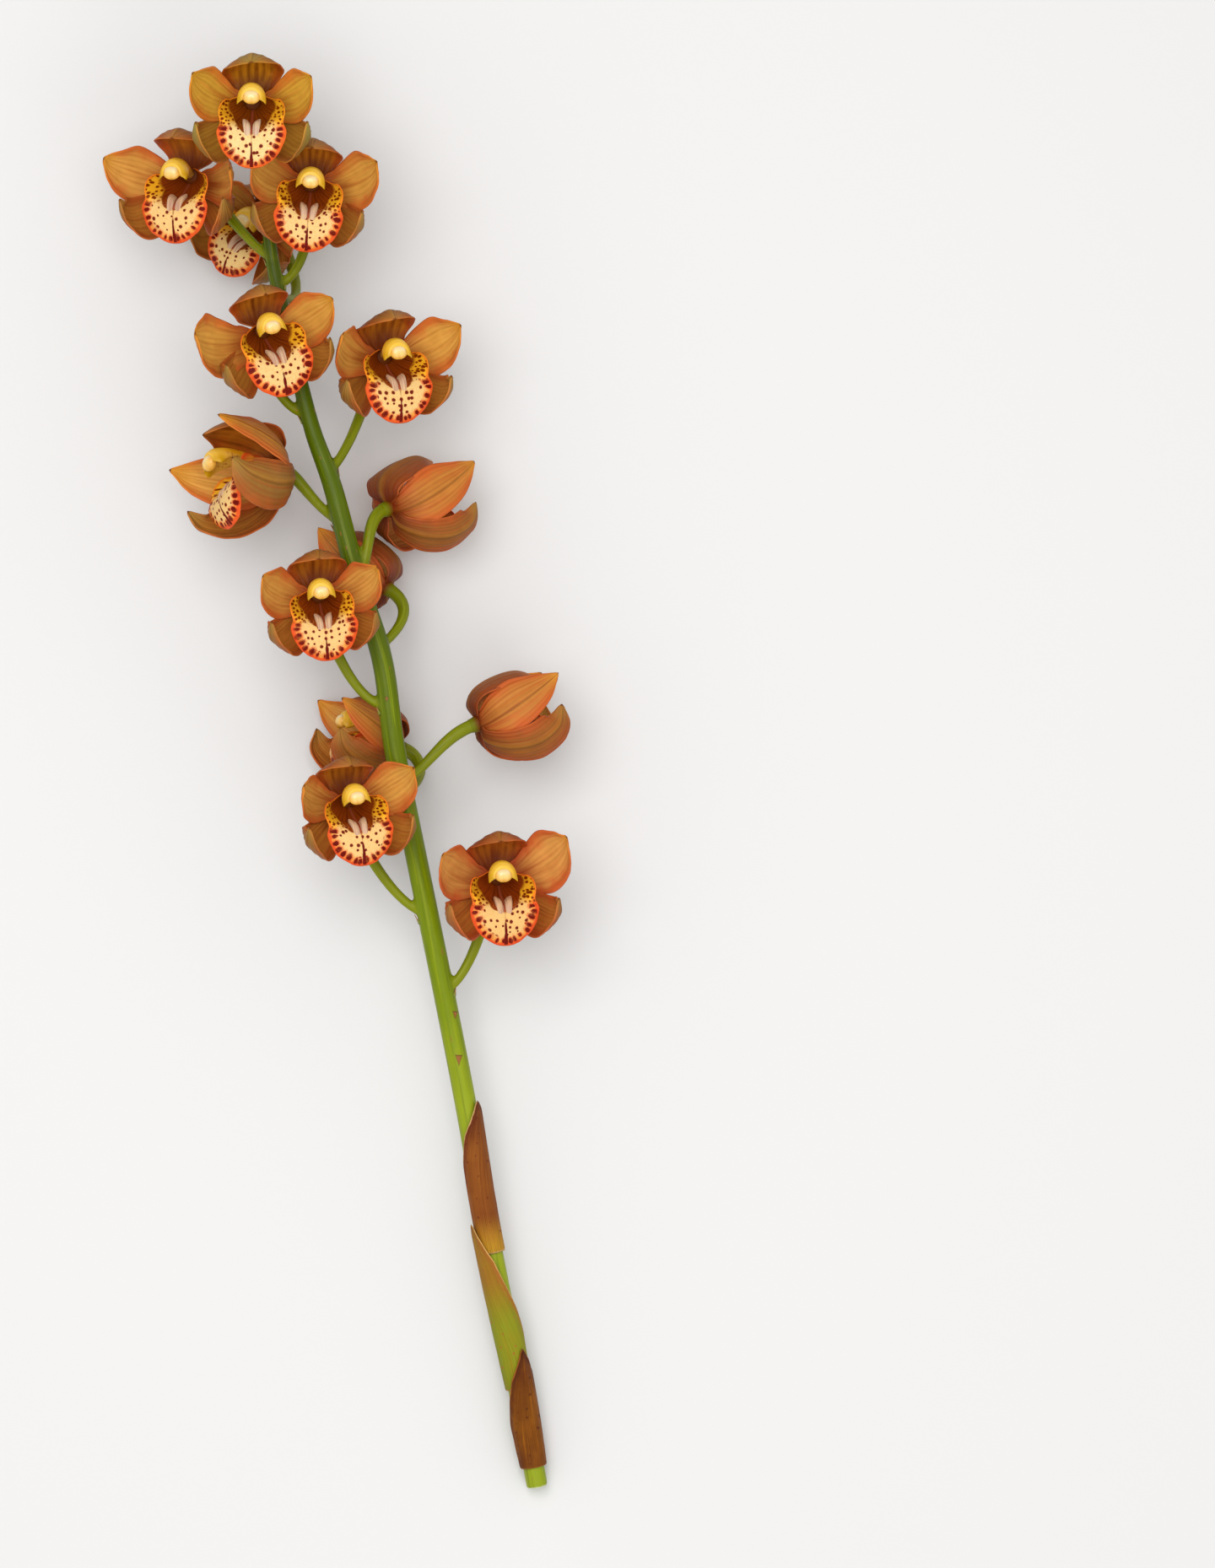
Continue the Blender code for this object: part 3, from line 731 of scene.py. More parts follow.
# Each point of the skin learns its place on the path that it lies nearest to.
def markStem(mesh, paths):
    count = len(mesh.vertices)
    points = np.zeros(count * 3, np.float32)
    mesh.vertices.foreach_get("co", points)
    points = points.reshape(-1, 3) / mm
    centres = np.concatenate([centre for centre, _ in paths])
    radii = np.concatenate([radius for _, radius in paths])
    isStalk = np.concatenate([np.full(len(centre), k > 0) for k, (centre, _) in enumerate(paths)])
    way = np.concatenate([wayAlong(centre) + stem["pathShift"] * k for k, (centre, _) in enumerate(paths)])
    right, up = (np.concatenate(rows) for rows in zip(*(pathFrames(centre) for centre, _ in paths)))
    grain = np.zeros((count, 3))
    stalk = np.zeros(count)
    block = 4000  # points at a time, to save memory
    for low in range(0, count, block):
        some = points[low:low + block]
        gaps = np.linalg.norm(some[:, None, :] - centres[None], axis=-1) - radii[None]
        nearest = np.argmin(gaps, axis=1)
        offset = some - centres[nearest]
        x = np.sum(offset * right[nearest], axis=1)
        y = np.sum(offset * up[nearest], axis=1)
        grain[low:low + block] = np.stack([x, y, way[nearest]], axis=1)
        nearer = gaps[:, ~isStalk].min(axis=1) - gaps[:, isStalk].min(axis=1)
        stalk[low:low + block] = smooth(-stem["jointBlend"], stem["jointBlend"], nearer)
    cut = smooth(*stem["cutFace"], (points - centres[0]) @ unit(centres[3] - centres[0]))
    for label, values in (("grain", grain), ("stalk", stalk), ("cut", cut)):
        storeValues(mesh, label, values)


stemLook = {
    "foot": paint(138, 150, 26),
    "low": paint(112, 128, 4),
    "high": paint(78, 94, 0),
    "top": paint(66, 80, 0),
    "stalk": paint(122, 126, 4),
    "streak": paint(54, 70, 0),
    "light": paint(152, 162, 24),
    "shade": (0.6, 0.68, 0.5, 1.0),
    "scar": paint(146, 92, 44),
    "scarRim": paint(96, 62, 20),
    "cut": paint(196, 206, 140),
    "scars": [(75.7, -181.2, 3.0), (73.4, -152.6, 2.0), (30.2, 47.5, 1.5)],  # x, y and reach
    "fibreStretch": (1.0, 1.0, 0.035),
    "mottle": {"Patch Size": 16.0, "Grain Size": 0.7},
    "flecks": {"Cell": 6.0, "Size": 0.07, "Chance": 0.35},
}


def makeStemSkin():
    material, tree, shader = startMaterial("stemSkin", 0.4, **{"Specular IOR Level": 0.15})
    grain = readAttribute(tree, "grain")["Vector"]
    across, _, along = partsOf(tree, grain)
    place = placeOf(tree)
    level = partsOf(tree, place)[1]
    base = blend(tree, fade(tree, level, -220.0, -130.0), stemLook["foot"], stemLook["low"])
    base = layer(tree, base, stemLook["high"], fade(tree, level, -120.0, 140.0))
    base = layer(tree, base, stemLook["top"], fade(tree, level, 180.0, 360.0))
    base = layer(tree, base, stemLook["stalk"], readAttribute(tree, "stalk")["Fac"], 0.8)
    fibre = noise(tree, vectorCalc(tree, "MULTIPLY", grain, stemLook["fibreStretch"]), 0.55, 3.0)
    base = layer(tree, base, stemLook["streak"], fade(tree, fibre, 0.52, 0.68), 0.32)
    base = layer(tree, base, stemLook["light"], fade(tree, fibre, 0.46, 0.30), 0.35)
    soft = useGroup(tree, mottle, {"Place": grain, "Seed": 3.0, **stemLook["mottle"]})
    base = layer(tree, base, blend(tree, 1.0, base, stemLook["shade"], "MULTIPLY"), soft[0], 0.25)
    fleckPlace = vectorOf(tree, across, along)
    flecks = useGroup(tree, spots, {"Place": fleckPlace, "Seed": 5.0, **stemLook["flecks"]})[0]
    base = layer(tree, base, stemLook["scar"], flecks, 0.5)
    for x, y, reach in stemLook["scars"]:
        right, up, _ = partsOf(tree, vectorCalc(tree, "SUBTRACT", place, (x, y, 0.0)))
        slant = timesPlus(tree, calc(tree, "ABSOLUTE", right), 2.4, times(tree, up, -0.8))
        far = calc(tree, "MAXIMUM", up, slant)
        far = timesPlus(tree, minus(tree, noise(tree, grain, 0.7, 2.0), 0.5), 2.0, far)
        base = layer(tree, base, stemLook["scarRim"], fade(tree, far, reach + 0.5, reach), 0.9)
        base = layer(tree, base, stemLook["scar"], fade(tree, far, reach, reach - 0.9), 0.9)
    base = layer(tree, base, stemLook["cut"], readAttribute(tree, "cut")["Fac"])
    tree.links.new(base, shader.inputs["Base Color"])
    tree.links.new(timesPlus(tree, soft[1], 0.18, 0.28), shader.inputs["Roughness"])
    addBump(tree, shader, timesPlus(tree, soft[1], 0.3, times(tree, fibre, 0.7)), 0.35, 0.6)
    return material


pathTree = treeForPaths()
fleshTree = treeForFlesh()
bractTree = treeForBracts()
stemPaths = [rachisPath()] + [stalkPath(bloom) for bloom in blooms]
stemSkin = stemMesh(stemPaths, makeStemSkin())
markStem(stemSkin, stemPaths)
addPiece("stemSkin", stemSkin, "stem", "stem")
print("stem made:", len(stemSkin.polygons), "faces")


# Sheets: grids of points with their place, their rim and the flesh that the tree gives them

# Shares along and across a sheet. Those across go from -1 to 1, closer together near the edges.
def sheetShares(shape):
    even = np.linspace(-1, 1, shape["columns"] + 1)
    across = (even + np.sin(even * math.pi / 2)) / 2
    return np.meshgrid(np.linspace(0, 1, shape["rows"] + 1), across, indexing="ij")


def sheetPart(grid, s, t, inner, rimWidth):
    points = grid.reshape(-1, 3)
    rim = np.concatenate([grid[:, 0], grid[-1, 1:], grid[-2::-1, -1]])
    distance, way = nearestOnRim(points, rim)
    fromRoot = np.linalg.norm(points[:, None, :] - grid[0][None], axis=-1).min(axis=1)
    close = np.clip(np.minimum(distance, fromRoot) / rimWidth, 0, 1)
    rows, columns = grid.shape[0] - 1, grid.shape[1] - 1
    faces = gridFaces(rows, columns)
    a, b, _, d = points[faces[len(faces) // 2 + columns // 2]]
    if np.cross(b - a, d - a) @ (inner - a) < 0:
        faces = faces[:, ::-1]
    return {
        "points": points,
        "faces": faces,
        "attributes": {
            "blade": np.stack([t.ravel(), s.ravel(), distance], axis=1),
            "flesh": np.sqrt(1 - (1 - close) ** 2),
            "flutter": smooth(0.25, 1, np.abs(t.ravel())) * smooth(0, 0.35, s.ravel()),
        },
        "way": way,
    }


def fleshOut(name, parts, material, shape, seed):
    points, faces, attributes = joinParts(parts)
    values = {
        "Thickness": shape["thickness"] * mm,
        "Wave Height": shape["waveHeight"] * mm,
        "Wave Length": shape["waveLength"] * mm,
        "Seed": float(seed),
        "Material": material,
    }
    return runTree(name, makeMesh(name, points, faces, attributes), fleshTree, values)


# The three papery sheaths round the lower stem

sheaths = {
    "thickness": 0.7,
    "rimWidth": 0.6,
    "clearance": 0.45,
    "tipRounding": 2.2,
    "ribs": 14,
    "ribHeight": 0.12,
    "rows": 70,
    "columns": 44,
    "waveHeight": 1.0,
    "waveLength": 22.0,
    "pieces": [
        {"foot": -304.0, "tip": -208.0, "faces": 25, "lean": (32, 0.3, 1.0), "wrap": (150, 120, 45),
         "tipFrom": 0.62, "gap": (0.8, 0.9, 1.8)},
        {"foot": -391.0, "tip": -284.0, "faces": -20, "lean": (-48, 0.15, 0.8), "wrap": (165, 112, 40),
         "tipFrom": 0.42, "gap": (0.8, 2.2, 3.0)},
        {"foot": -441.0, "tip": -366.0, "faces": 30, "lean": (12, 0.3, 1.0), "wrap": (150, 100, 30),
         "tipFrom": 0.62, "gap": (1.0, 2.3, 2.9)},
    ],
    # each colour on the three pieces
    "colours": {
        "foot": (paint(178, 132, 30), paint(112, 124, 14), paint(92, 42, 4)),
        "middle": (paint(122, 62, 14), paint(126, 134, 22), paint(106, 54, 0)),
        "tip": (paint(102, 46, 12), paint(150, 98, 28), paint(88, 34, 2)),
        "band": (paint(96, 38, 12), paint(152, 90, 32), paint(76, 30, 4)),
        "margin": (paint(206, 166, 104), paint(204, 158, 90), paint(160, 90, 30)),
        "fibre": (paint(80, 34, 8), paint(104, 94, 8), paint(60, 24, 0)),
        "blush": (paint(154, 92, 28), paint(150, 120, 18), paint(164, 98, 8)),
    },
    "mottle": {"Patch Size": 14.0, "Grain Size": 0.6},
    "fibres": {"Count": 46.0, "Width": 0.4, "Waver": 0.5},
    "flecks": {"Cell": 7.0, "Size": 0.12, "Chance": 0.5},
}


def sheathPart(sheath):
    foot = shareAtLevel(sheath["foot"])
    tip = shareAtLevel(sheath["tip"])
    s, t = sheetShares(sheaths)
    share = foot + (tip - foot) * s
    centre, radius = axisAt(share)
    along = axisDirection(share)
    right = unit(np.cross(along, np.array([0.0, 0.0, 1.0])))
    up = np.cross(right, along)
    narrowing = np.minimum(1, np.sqrt(np.maximum(1.0005 - s, 0)) * sheaths["tipRounding"])
    wrap = np.radians(readCurve(sheath["wrap"], s) * narrowing)
    lean, low, high = sheath["lean"]
    faces = np.radians(sheath["faces"] + lean * smooth(low, high, s))
    angle = (faces + wrap * t)[..., None]
    ribs = sheaths["ribHeight"] * np.cos(wrap * t * sheaths["ribs"]) * smooth(0, 0.2, s)
    reach = (radius + readCurve(sheath["gap"], s) + sheaths["clearance"] + ribs)[..., None]
    grid = centre + (right * np.sin(angle) + up * np.cos(angle)) * reach
    row, column = len(grid) // 2, grid.shape[1] // 2
    outside = 2 * grid[row, column] - centre[row, column]
    return sheetPart(grid, s, t, outside, sheaths["rimWidth"])


def makeSheathSkin(name, number, tipFrom):
    material, tree, shader = startMaterial(name, 0.55, **{"Specular IOR Level": 0.12})
    colours = {label: three[number - 1] for label, three in sheaths["colours"].items()}
    across, along, rim = partsOf(tree, readAttribute(tree, "blade")["Vector"])
    seed = number * 7.0
    place = placeOf(tree)
    soft = useGroup(tree, mottle, {"Place": place, "Seed": seed, **sheaths["mottle"]})
    lengthwise = vectorOf(tree, times(tree, across, 16.0), times(tree, along, 2.5))
    streaks = noise(tree, lengthwise, 1.0, 4.0, seed)
    base = blend(tree, fade(tree, along, 0.02, 0.28), colours["foot"], colours["middle"])
    base = layer(tree, base, colours["tip"], fade(tree, along, tipFrom, tipFrom + 0.33))
    base = layer(tree, base, colours["blush"], fade(tree, streaks, 0.52, 0.7), 0.6)
    base = layer(tree, base, colours["blush"], soft[0], 0.35)
    fibres = useGroup(tree, veins, {"Across": across, "Along": along, "Seed": seed, **sheaths["fibres"]})[0]
    base = layer(tree, base, colours["fibre"], fibres, 0.5)
    ragged = timesPlus(tree, noise(tree, place, 0.4, 3.0, seed), 1.4, 0.2)
    band = fade(tree, rim, times(tree, ragged, 5.0), times(tree, ragged, 1.5))
    base = layer(tree, base, colours["band"], times(tree, band, fade(tree, along, 0.1, 0.3)), 0.7)
    flecks = useGroup(tree, spots, {"Place": place, "Seed": seed, **sheaths["flecks"]})[0]
    base = layer(tree, base, colours["band"], flecks, 0.7)
    base = layer(tree, base, colours["margin"], fade(tree, rim, ragged, times(tree, ragged, 0.4)), 0.8)
    base = layer(tree, base, colours["margin"], fade(tree, along, 0.014, 0.006), 0.8)
    tree.links.new(base, shader.inputs["Base Color"])
    tree.links.new(timesPlus(tree, streaks, 0.3, 0.36), shader.inputs["Roughness"])
    addBump(tree, shader, timesPlus(tree, fibres, -0.5, times(tree, streaks, 0.8)), 0.5, 0.8)
    return material


for number, sheath in enumerate(sheaths["pieces"], 1):
    name = f"sheathSkin{number}"
    material = makeSheathSkin(name, number, sheath["tipFrom"])
    skin = fleshOut(name, [sheathPart(sheath)], material, sheaths, number)
    addPiece(name, skin, "sheath", f"sheath_{number}")
print("sheaths made")


# A small dry bract under each joint

bracts = {
    "length": 7.5,
    "half": 3.4,
    "clasp": 1.6,
    "lift": 1.5,
    "stand": 0.4,
    "thickness": 0.5,
    "rimWidth": 0.5,
    "waveHeight": 0.0,
    "waveLength": 10.0,
    "rows": 6,
    "columns": 6,
    "below": 4.5,
    "smallest": 0.75,
    "largest": 1.15,
    "seed": 4,
    "colours": (paint(112, 128, 34), paint(150, 108, 48), paint(120, 66, 28)),
    "mottle": {"Patch Size": 3.0, "Grain Size": 0.4},
}


def makeBractSkin():
    material, tree, shader = startMaterial("bractSkin", 0.55)
    along = partsOf(tree, readAttribute(tree, "blade")["Vector"])[1]
    soft = useGroup(tree, mottle, {"Place": placeOf(tree), "Seed": 2.0, **bracts["mottle"]})
    green, dry, tip = bracts["colours"]
    base = blend(tree, fade(tree, along, 0.15, 0.6), green, dry)
    base = layer(tree, base, tip, fade(tree, along, 0.6, 1.0))
    base = layer(tree, base, dry, soft[0], 0.4)
    tree.links.new(base, shader.inputs["Base Color"])
    addBump(tree, shader, soft[1], 0.2, 0.6)
    return material


def bractPart():
    along = np.linspace(0, 1, bracts["rows"] + 1)
    s, t = np.meshgrid(along, np.linspace(-1, 1, bracts["columns"] + 1), indexing="ij")
    half = bracts["half"] * np.maximum(1 - s, 0.02) ** 0.7
    x = half * t
    y = bracts["length"] * s
    z = bracts["lift"] * s * s + bracts["stand"] - bracts["clasp"] * (half / bracts["half"]) ** 2 * t * t
    return sheetPart(np.stack([x, y, z], axis=-1), s, t, np.array([0.0, 3.0, 40.0]), bracts["rimWidth"])


def bractMesh(material):
    shape = bpy.data.objects.new("bractShape", fleshOut("bractShape", [bractPart()], material, bracts, 0))
    bpy.context.scene.collection.objects.link(shape)
    places = []
    outward = []
    upward = []
    for bloom in blooms:
        share = shareAtLevel(bloom["joins"])
        along = axisDirection(share)
        out = np.array(bloom["leaves"]) - axisAt(share)[0]
        out = unit(out - along * (out @ along))
        centre, radius = axisAt(shareAtLevel(bloom["joins"] - bracts["below"]))
        places.append(centre + out * radius)
        outward.append(out)
        upward.append(along)
    joints = makeMesh("joints", places, [], {"outward": outward, "upward": upward})
    values = {
        "Bract": shape,
        "Smallest": bracts["smallest"],
        "Largest": bracts["largest"],
        "Seed": bracts["seed"],
        "Material": material,
    }
    made = runTree("bracts", joints, bractTree, values)
    bpy.data.objects.remove(shape, do_unlink=True)
    return made


addPiece("bracts", bractMesh(makeBractSkin()), "sheath")
print("bracts made")


# The tepals

focus = np.array([0.0, 0.0, 48.0])  # the point in front of a bloom that its tepals face

tepals = {
    "rows": 44,
    "columns": 28,
    "thickness": 1.0,
    "rimWidth": 0.7,
    "waveHeight": 3.0,
    "waveLength": 14.0,
    "rootFlare": 0.42,
    "flareAt": 0.09,
    "flareWidth": 0.08,
    "tipRounding": 0.02,
    "crease": 0.9,
    "creaseWidth": 0.10,
    "pleat": 0.22,
    "pleats": 3.5,
    "twist": 6.0,
    "sway": 2.0,
    "spread": 0.02,
    "dorsal": {
        "x": (0.0, 0.0, 0.0, 0.0, 0.0, 0.0),
        "y": (2.0, 12.0, 21.0, 27.5, 30.5, 25.5),
        "z": (0.5, -3.5, 0.0, 12.0, 28.0, 42.0),
        "upper": (2.0, 14.5, 19.5, 19.0, 14.5, 0.7),
        "lower": (2.0, 14.5, 19.5, 19.0, 14.5, 0.7),
        "cup": (0.8, 2.0, 4.5, 7.0, 7.5, 0.5),
    },
    "petal": {
        "x": (2.5, 13.0, 23.5, 31.5, 36.0, 37.0),
        "y": (-0.5, -0.5, 3.0, 8.0, 13.5, 17.8),
        "z": (0.8, -0.5, 6.5, 20.0, 35.0, 48.0),
        "upper": (2.0, 9.0, 14.5, 16.0, 9.0, 0.7),
        "lower": (2.0, 10.0, 16.0, 15.0, 10.0, 0.7),
        "cup": (0.5, 1.0, 1.5, 2.0, 2.0, 0.3),
    },
    "lateral": {
        "x": (2.5, 11.5, 22.5, 31.5, 35.5, 34.5),
        "y": (-3.0, -10.5, -19.5, -24.5, -21.5, -11.5),
        "z": (0.5, -3.0, 5.0, 20.0, 35.5, 45.0),
        "upper": (2.0, 7.0, 10.5, 12.0, 10.0, 0.7),
        "lower": (2.0, 9.5, 16.0, 17.5, 13.0, 0.7),
        "cup": (0.8, 2.0, 3.5, 4.5, 5.0, 0.5),
    },
    # rings of the funnel that the tepals grow from: radius and place
    "receptacle": [(3.9, -5.4), (4.42, -4.8), (4.62, -3.4), (4.95, -1.8), (5.6, 0.0), (6.3, 1.4), (5.4, 2.4)],
    "receptacleSides": 20,
    "mottle": {"Patch Size": 9.0, "Grain Size": 0.45},
    "fineVeins": {"Width": 0.42, "Waver": 0.4},
    "broadVeins": {"Count": 8.0, "Width": 0.5, "Waver": 0.3},
}


def tepalGrid(shape, side, close, droop, twist, length):
    s, t = sheetShares(tepals)

    def rib(share):
        return np.stack([readCurve(shape[axis], share) for axis in "xyz"], axis=-1)

    # three directions at each place: along the blade, across it, and in towards the focus
    centre = rib(s)
    along = unit(rib(np.minimum(s + slopeStep, 1)) - rib(np.maximum(s - slopeStep, 0)))
    inward = focus - centre
    inward = unit(inward - along * dot(inward, along))
    level = np.cross(inward, along)
    wrongWay = level[..., 1:2] * shape["x"][3] - level[..., 0:1] * shape["y"][3] < 0
    level = np.where(wrongWay, -level, level)
    turn = np.radians(twist * s)[..., None]
    across = level * np.cos(turn) + inward * np.sin(turn)
    inward = inward * np.cos(turn) - level * np.sin(turn)

    half = np.where(t > 0, readCurve(shape["upper"], s), readCurve(shape["lower"], s))
    half = half * np.sqrt(np.clip((1.0 - s) / tepals["tipRounding"], 0, 1))
    half = half * (1 + tepals["rootFlare"] * np.exp(-(((s - tepals["flareAt"]) / tepals["flareWidth"]) ** 2)))
    cup = readCurve(shape["cup"], s) * t * t
    swell = np.sin(np.pi * np.clip(s, 0, 1)) ** 0.5
    crease = tepals["crease"] * np.exp(-((t / tepals["creaseWidth"]) ** 2)) * swell
    pleat = tepals["pleat"] * np.cos(2 * np.pi * tepals["pleats"] * t) * swell
    points = centre + across * (half * t)[..., None] + inward * (cup - crease + pleat)[..., None]

    # lengthened, then closed about the root, then drooped about the bloom's middle
    outward = unit(np.array([shape["x"][3], shape["y"][3], 0.0]))
    root = outward * math.hypot(shape["x"][0], shape["y"][0])
    points[..., :2] = root[:2] + (points[..., :2] - root[:2]) * length
    angle = math.radians(close)
    out = dot(points - root, outward)
    height = points[..., 2:3].copy()
    points = points + outward * (out * math.cos(angle) - height * math.sin(angle) - out)
    points[..., 2:3] = height * math.cos(angle) + out * math.sin(angle)
    angle = math.radians(droop)
    x = points[..., 0] * math.cos(angle) + points[..., 1] * math.sin(angle)
    y = points[..., 1] * math.cos(angle) - points[..., 0] * math.sin(angle)
    return np.stack([x * side, y, points[..., 2]], axis=-1), s, t


def receptacleMesh(name, bloom):
    sides = tepals["receptacleSides"]
    angle = np.arange(sides) * 2 * np.pi / sides
    circle = np.stack([np.cos(angle), np.sin(angle)], axis=1)
    rings = [np.column_stack([circle * radius, np.full(sides, z)]) for radius, z in tepals["receptacle"]]
    points = np.concatenate(rings)
    zeros = np.zeros(len(points))
    attributes = {
        "blade": np.stack([zeros, points[:, 2], zeros + 9], axis=1),
        "tone": np.tile([3, bloom["tint"], bloom["number"] * 10], (len(points), 1)),
        "front": zeros,
    }
    mesh = makeMesh(name, onBloom(points, bloom), ringFaces(len(rings), sides), attributes)
    turnOutward(mesh)
    return mesh


def tepalsMesh(name, bloom, material):
    number = bloom["number"]
    draw = np.random.default_rng(100 + number)
    left, right = bloom["droop"]
    longLeft, longRight = bloom["petals"]
    # kind of tepal and its code in the material, side, droop and length
    layout = (
        ("dorsal", 0, 1, 0, 1),
        ("lateral", 2, 1, 0, 1),
        ("lateral", 2, -1, 0, 1),
        ("petal", 1, 1, right, longRight),
        ("petal", 1, -1, left, longLeft),
    )
    parts = []
    for k, (kind, code, side, droop, length) in enumerate(layout):
        twist = draw.uniform(-tepals["twist"], tepals["twist"])
        droop += draw.uniform(-tepals["sway"], tepals["sway"])
        length *= 1 + draw.uniform(-tepals["spread"], tepals["spread"])
        grid, s, t = tepalGrid(tepals[kind], side, bloom["close"], droop, twist, length)
        part = sheetPart(onBloom(grid, bloom), s, t, onBloom(focus, bloom), tepals["rimWidth"])
        part["attributes"]["tone"] = np.tile([code, bloom["tint"], number * 10 + k], (len(part["points"]), 1))
        parts.append(part)
    skin = fleshOut(name, parts, material, tepals, number)
    return joinMeshes(name, [skin, receptacleMesh(name + "Funnel", bloom)], material)


# Golden and rust colours of each kind of tepal, on its inner face and on its back. The inner root colour is
# the tepal's own darker base and also painted shade deep in the cup.
tepalColours = {
    "dorsal": {
        "middle": (paint(206, 140, 26), paint(196, 112, 34)),
        "edge": (paint(164, 76, 14), paint(180, 76, 28)),
        "root": (paint(100, 46, 6), paint(104, 38, 10)),
        "vein": (paint(110, 54, 0), paint(122, 54, 6)),
        "tip": (paint(176, 140, 52), paint(196, 116, 60)),
        "back": (paint(134, 108, 50), paint(144, 76, 32)),
        "backEdge": (paint(150, 90, 32), paint(142, 60, 24)),
        "backRoot": (paint(118, 54, 16), paint(98, 30, 8)),
    },
    "petal": {
        "middle": (paint(224, 176, 64), paint(226, 160, 84)),
        "edge": (paint(212, 122, 46), paint(200, 92, 46)),
        "root": (paint(160, 80, 20), paint(142, 50, 18)),
        "vein": (paint(160, 106, 16), paint(160, 88, 34)),
        "tip": (paint(228, 166, 26), paint(230, 152, 48)),
        "back": (paint(206, 148, 54), paint(186, 114, 48)),
        "backEdge": (paint(196, 104, 38), paint(186, 84, 34)),
        "backRoot": (paint(142, 60, 18), paint(122, 38, 10)),
    },
    "lateral": {
        "middle": (paint(186, 138, 50), paint(194, 120, 50)),
        "edge": (paint(160, 96, 34), paint(186, 84, 38)),
        "root": (paint(120, 62, 12), paint(116, 42, 12)),
        "vein": (paint(120, 76, 14), paint(130, 66, 16)),
        "tip": (paint(156, 144, 62), paint(172, 128, 60)),
        "back": (paint(134, 120, 54), paint(148, 80, 28)),
        "backEdge": (paint(148, 92, 36), paint(166, 72, 26)),
        "backRoot": (paint(112, 56, 16), paint(98, 32, 8)),
    },
    "midrib": (paint(172, 134, 46), paint(160, 104, 34)),
    "midribLine": paint(84, 48, 0),
    "rim": (paint(230, 146, 50), paint(216, 108, 56)),
    "point": paint(110, 54, 16),
    # the funnel's green side, and its dark brown top, which is painted shade at the deep end of the throat
    "receptacle": (paint(104, 108, 6), paint(104, 46, 0)),
    "shade": ((0.86, 0.83, 0.78, 1.0), (1.0, 1.0, 1.0, 1.0)),
}


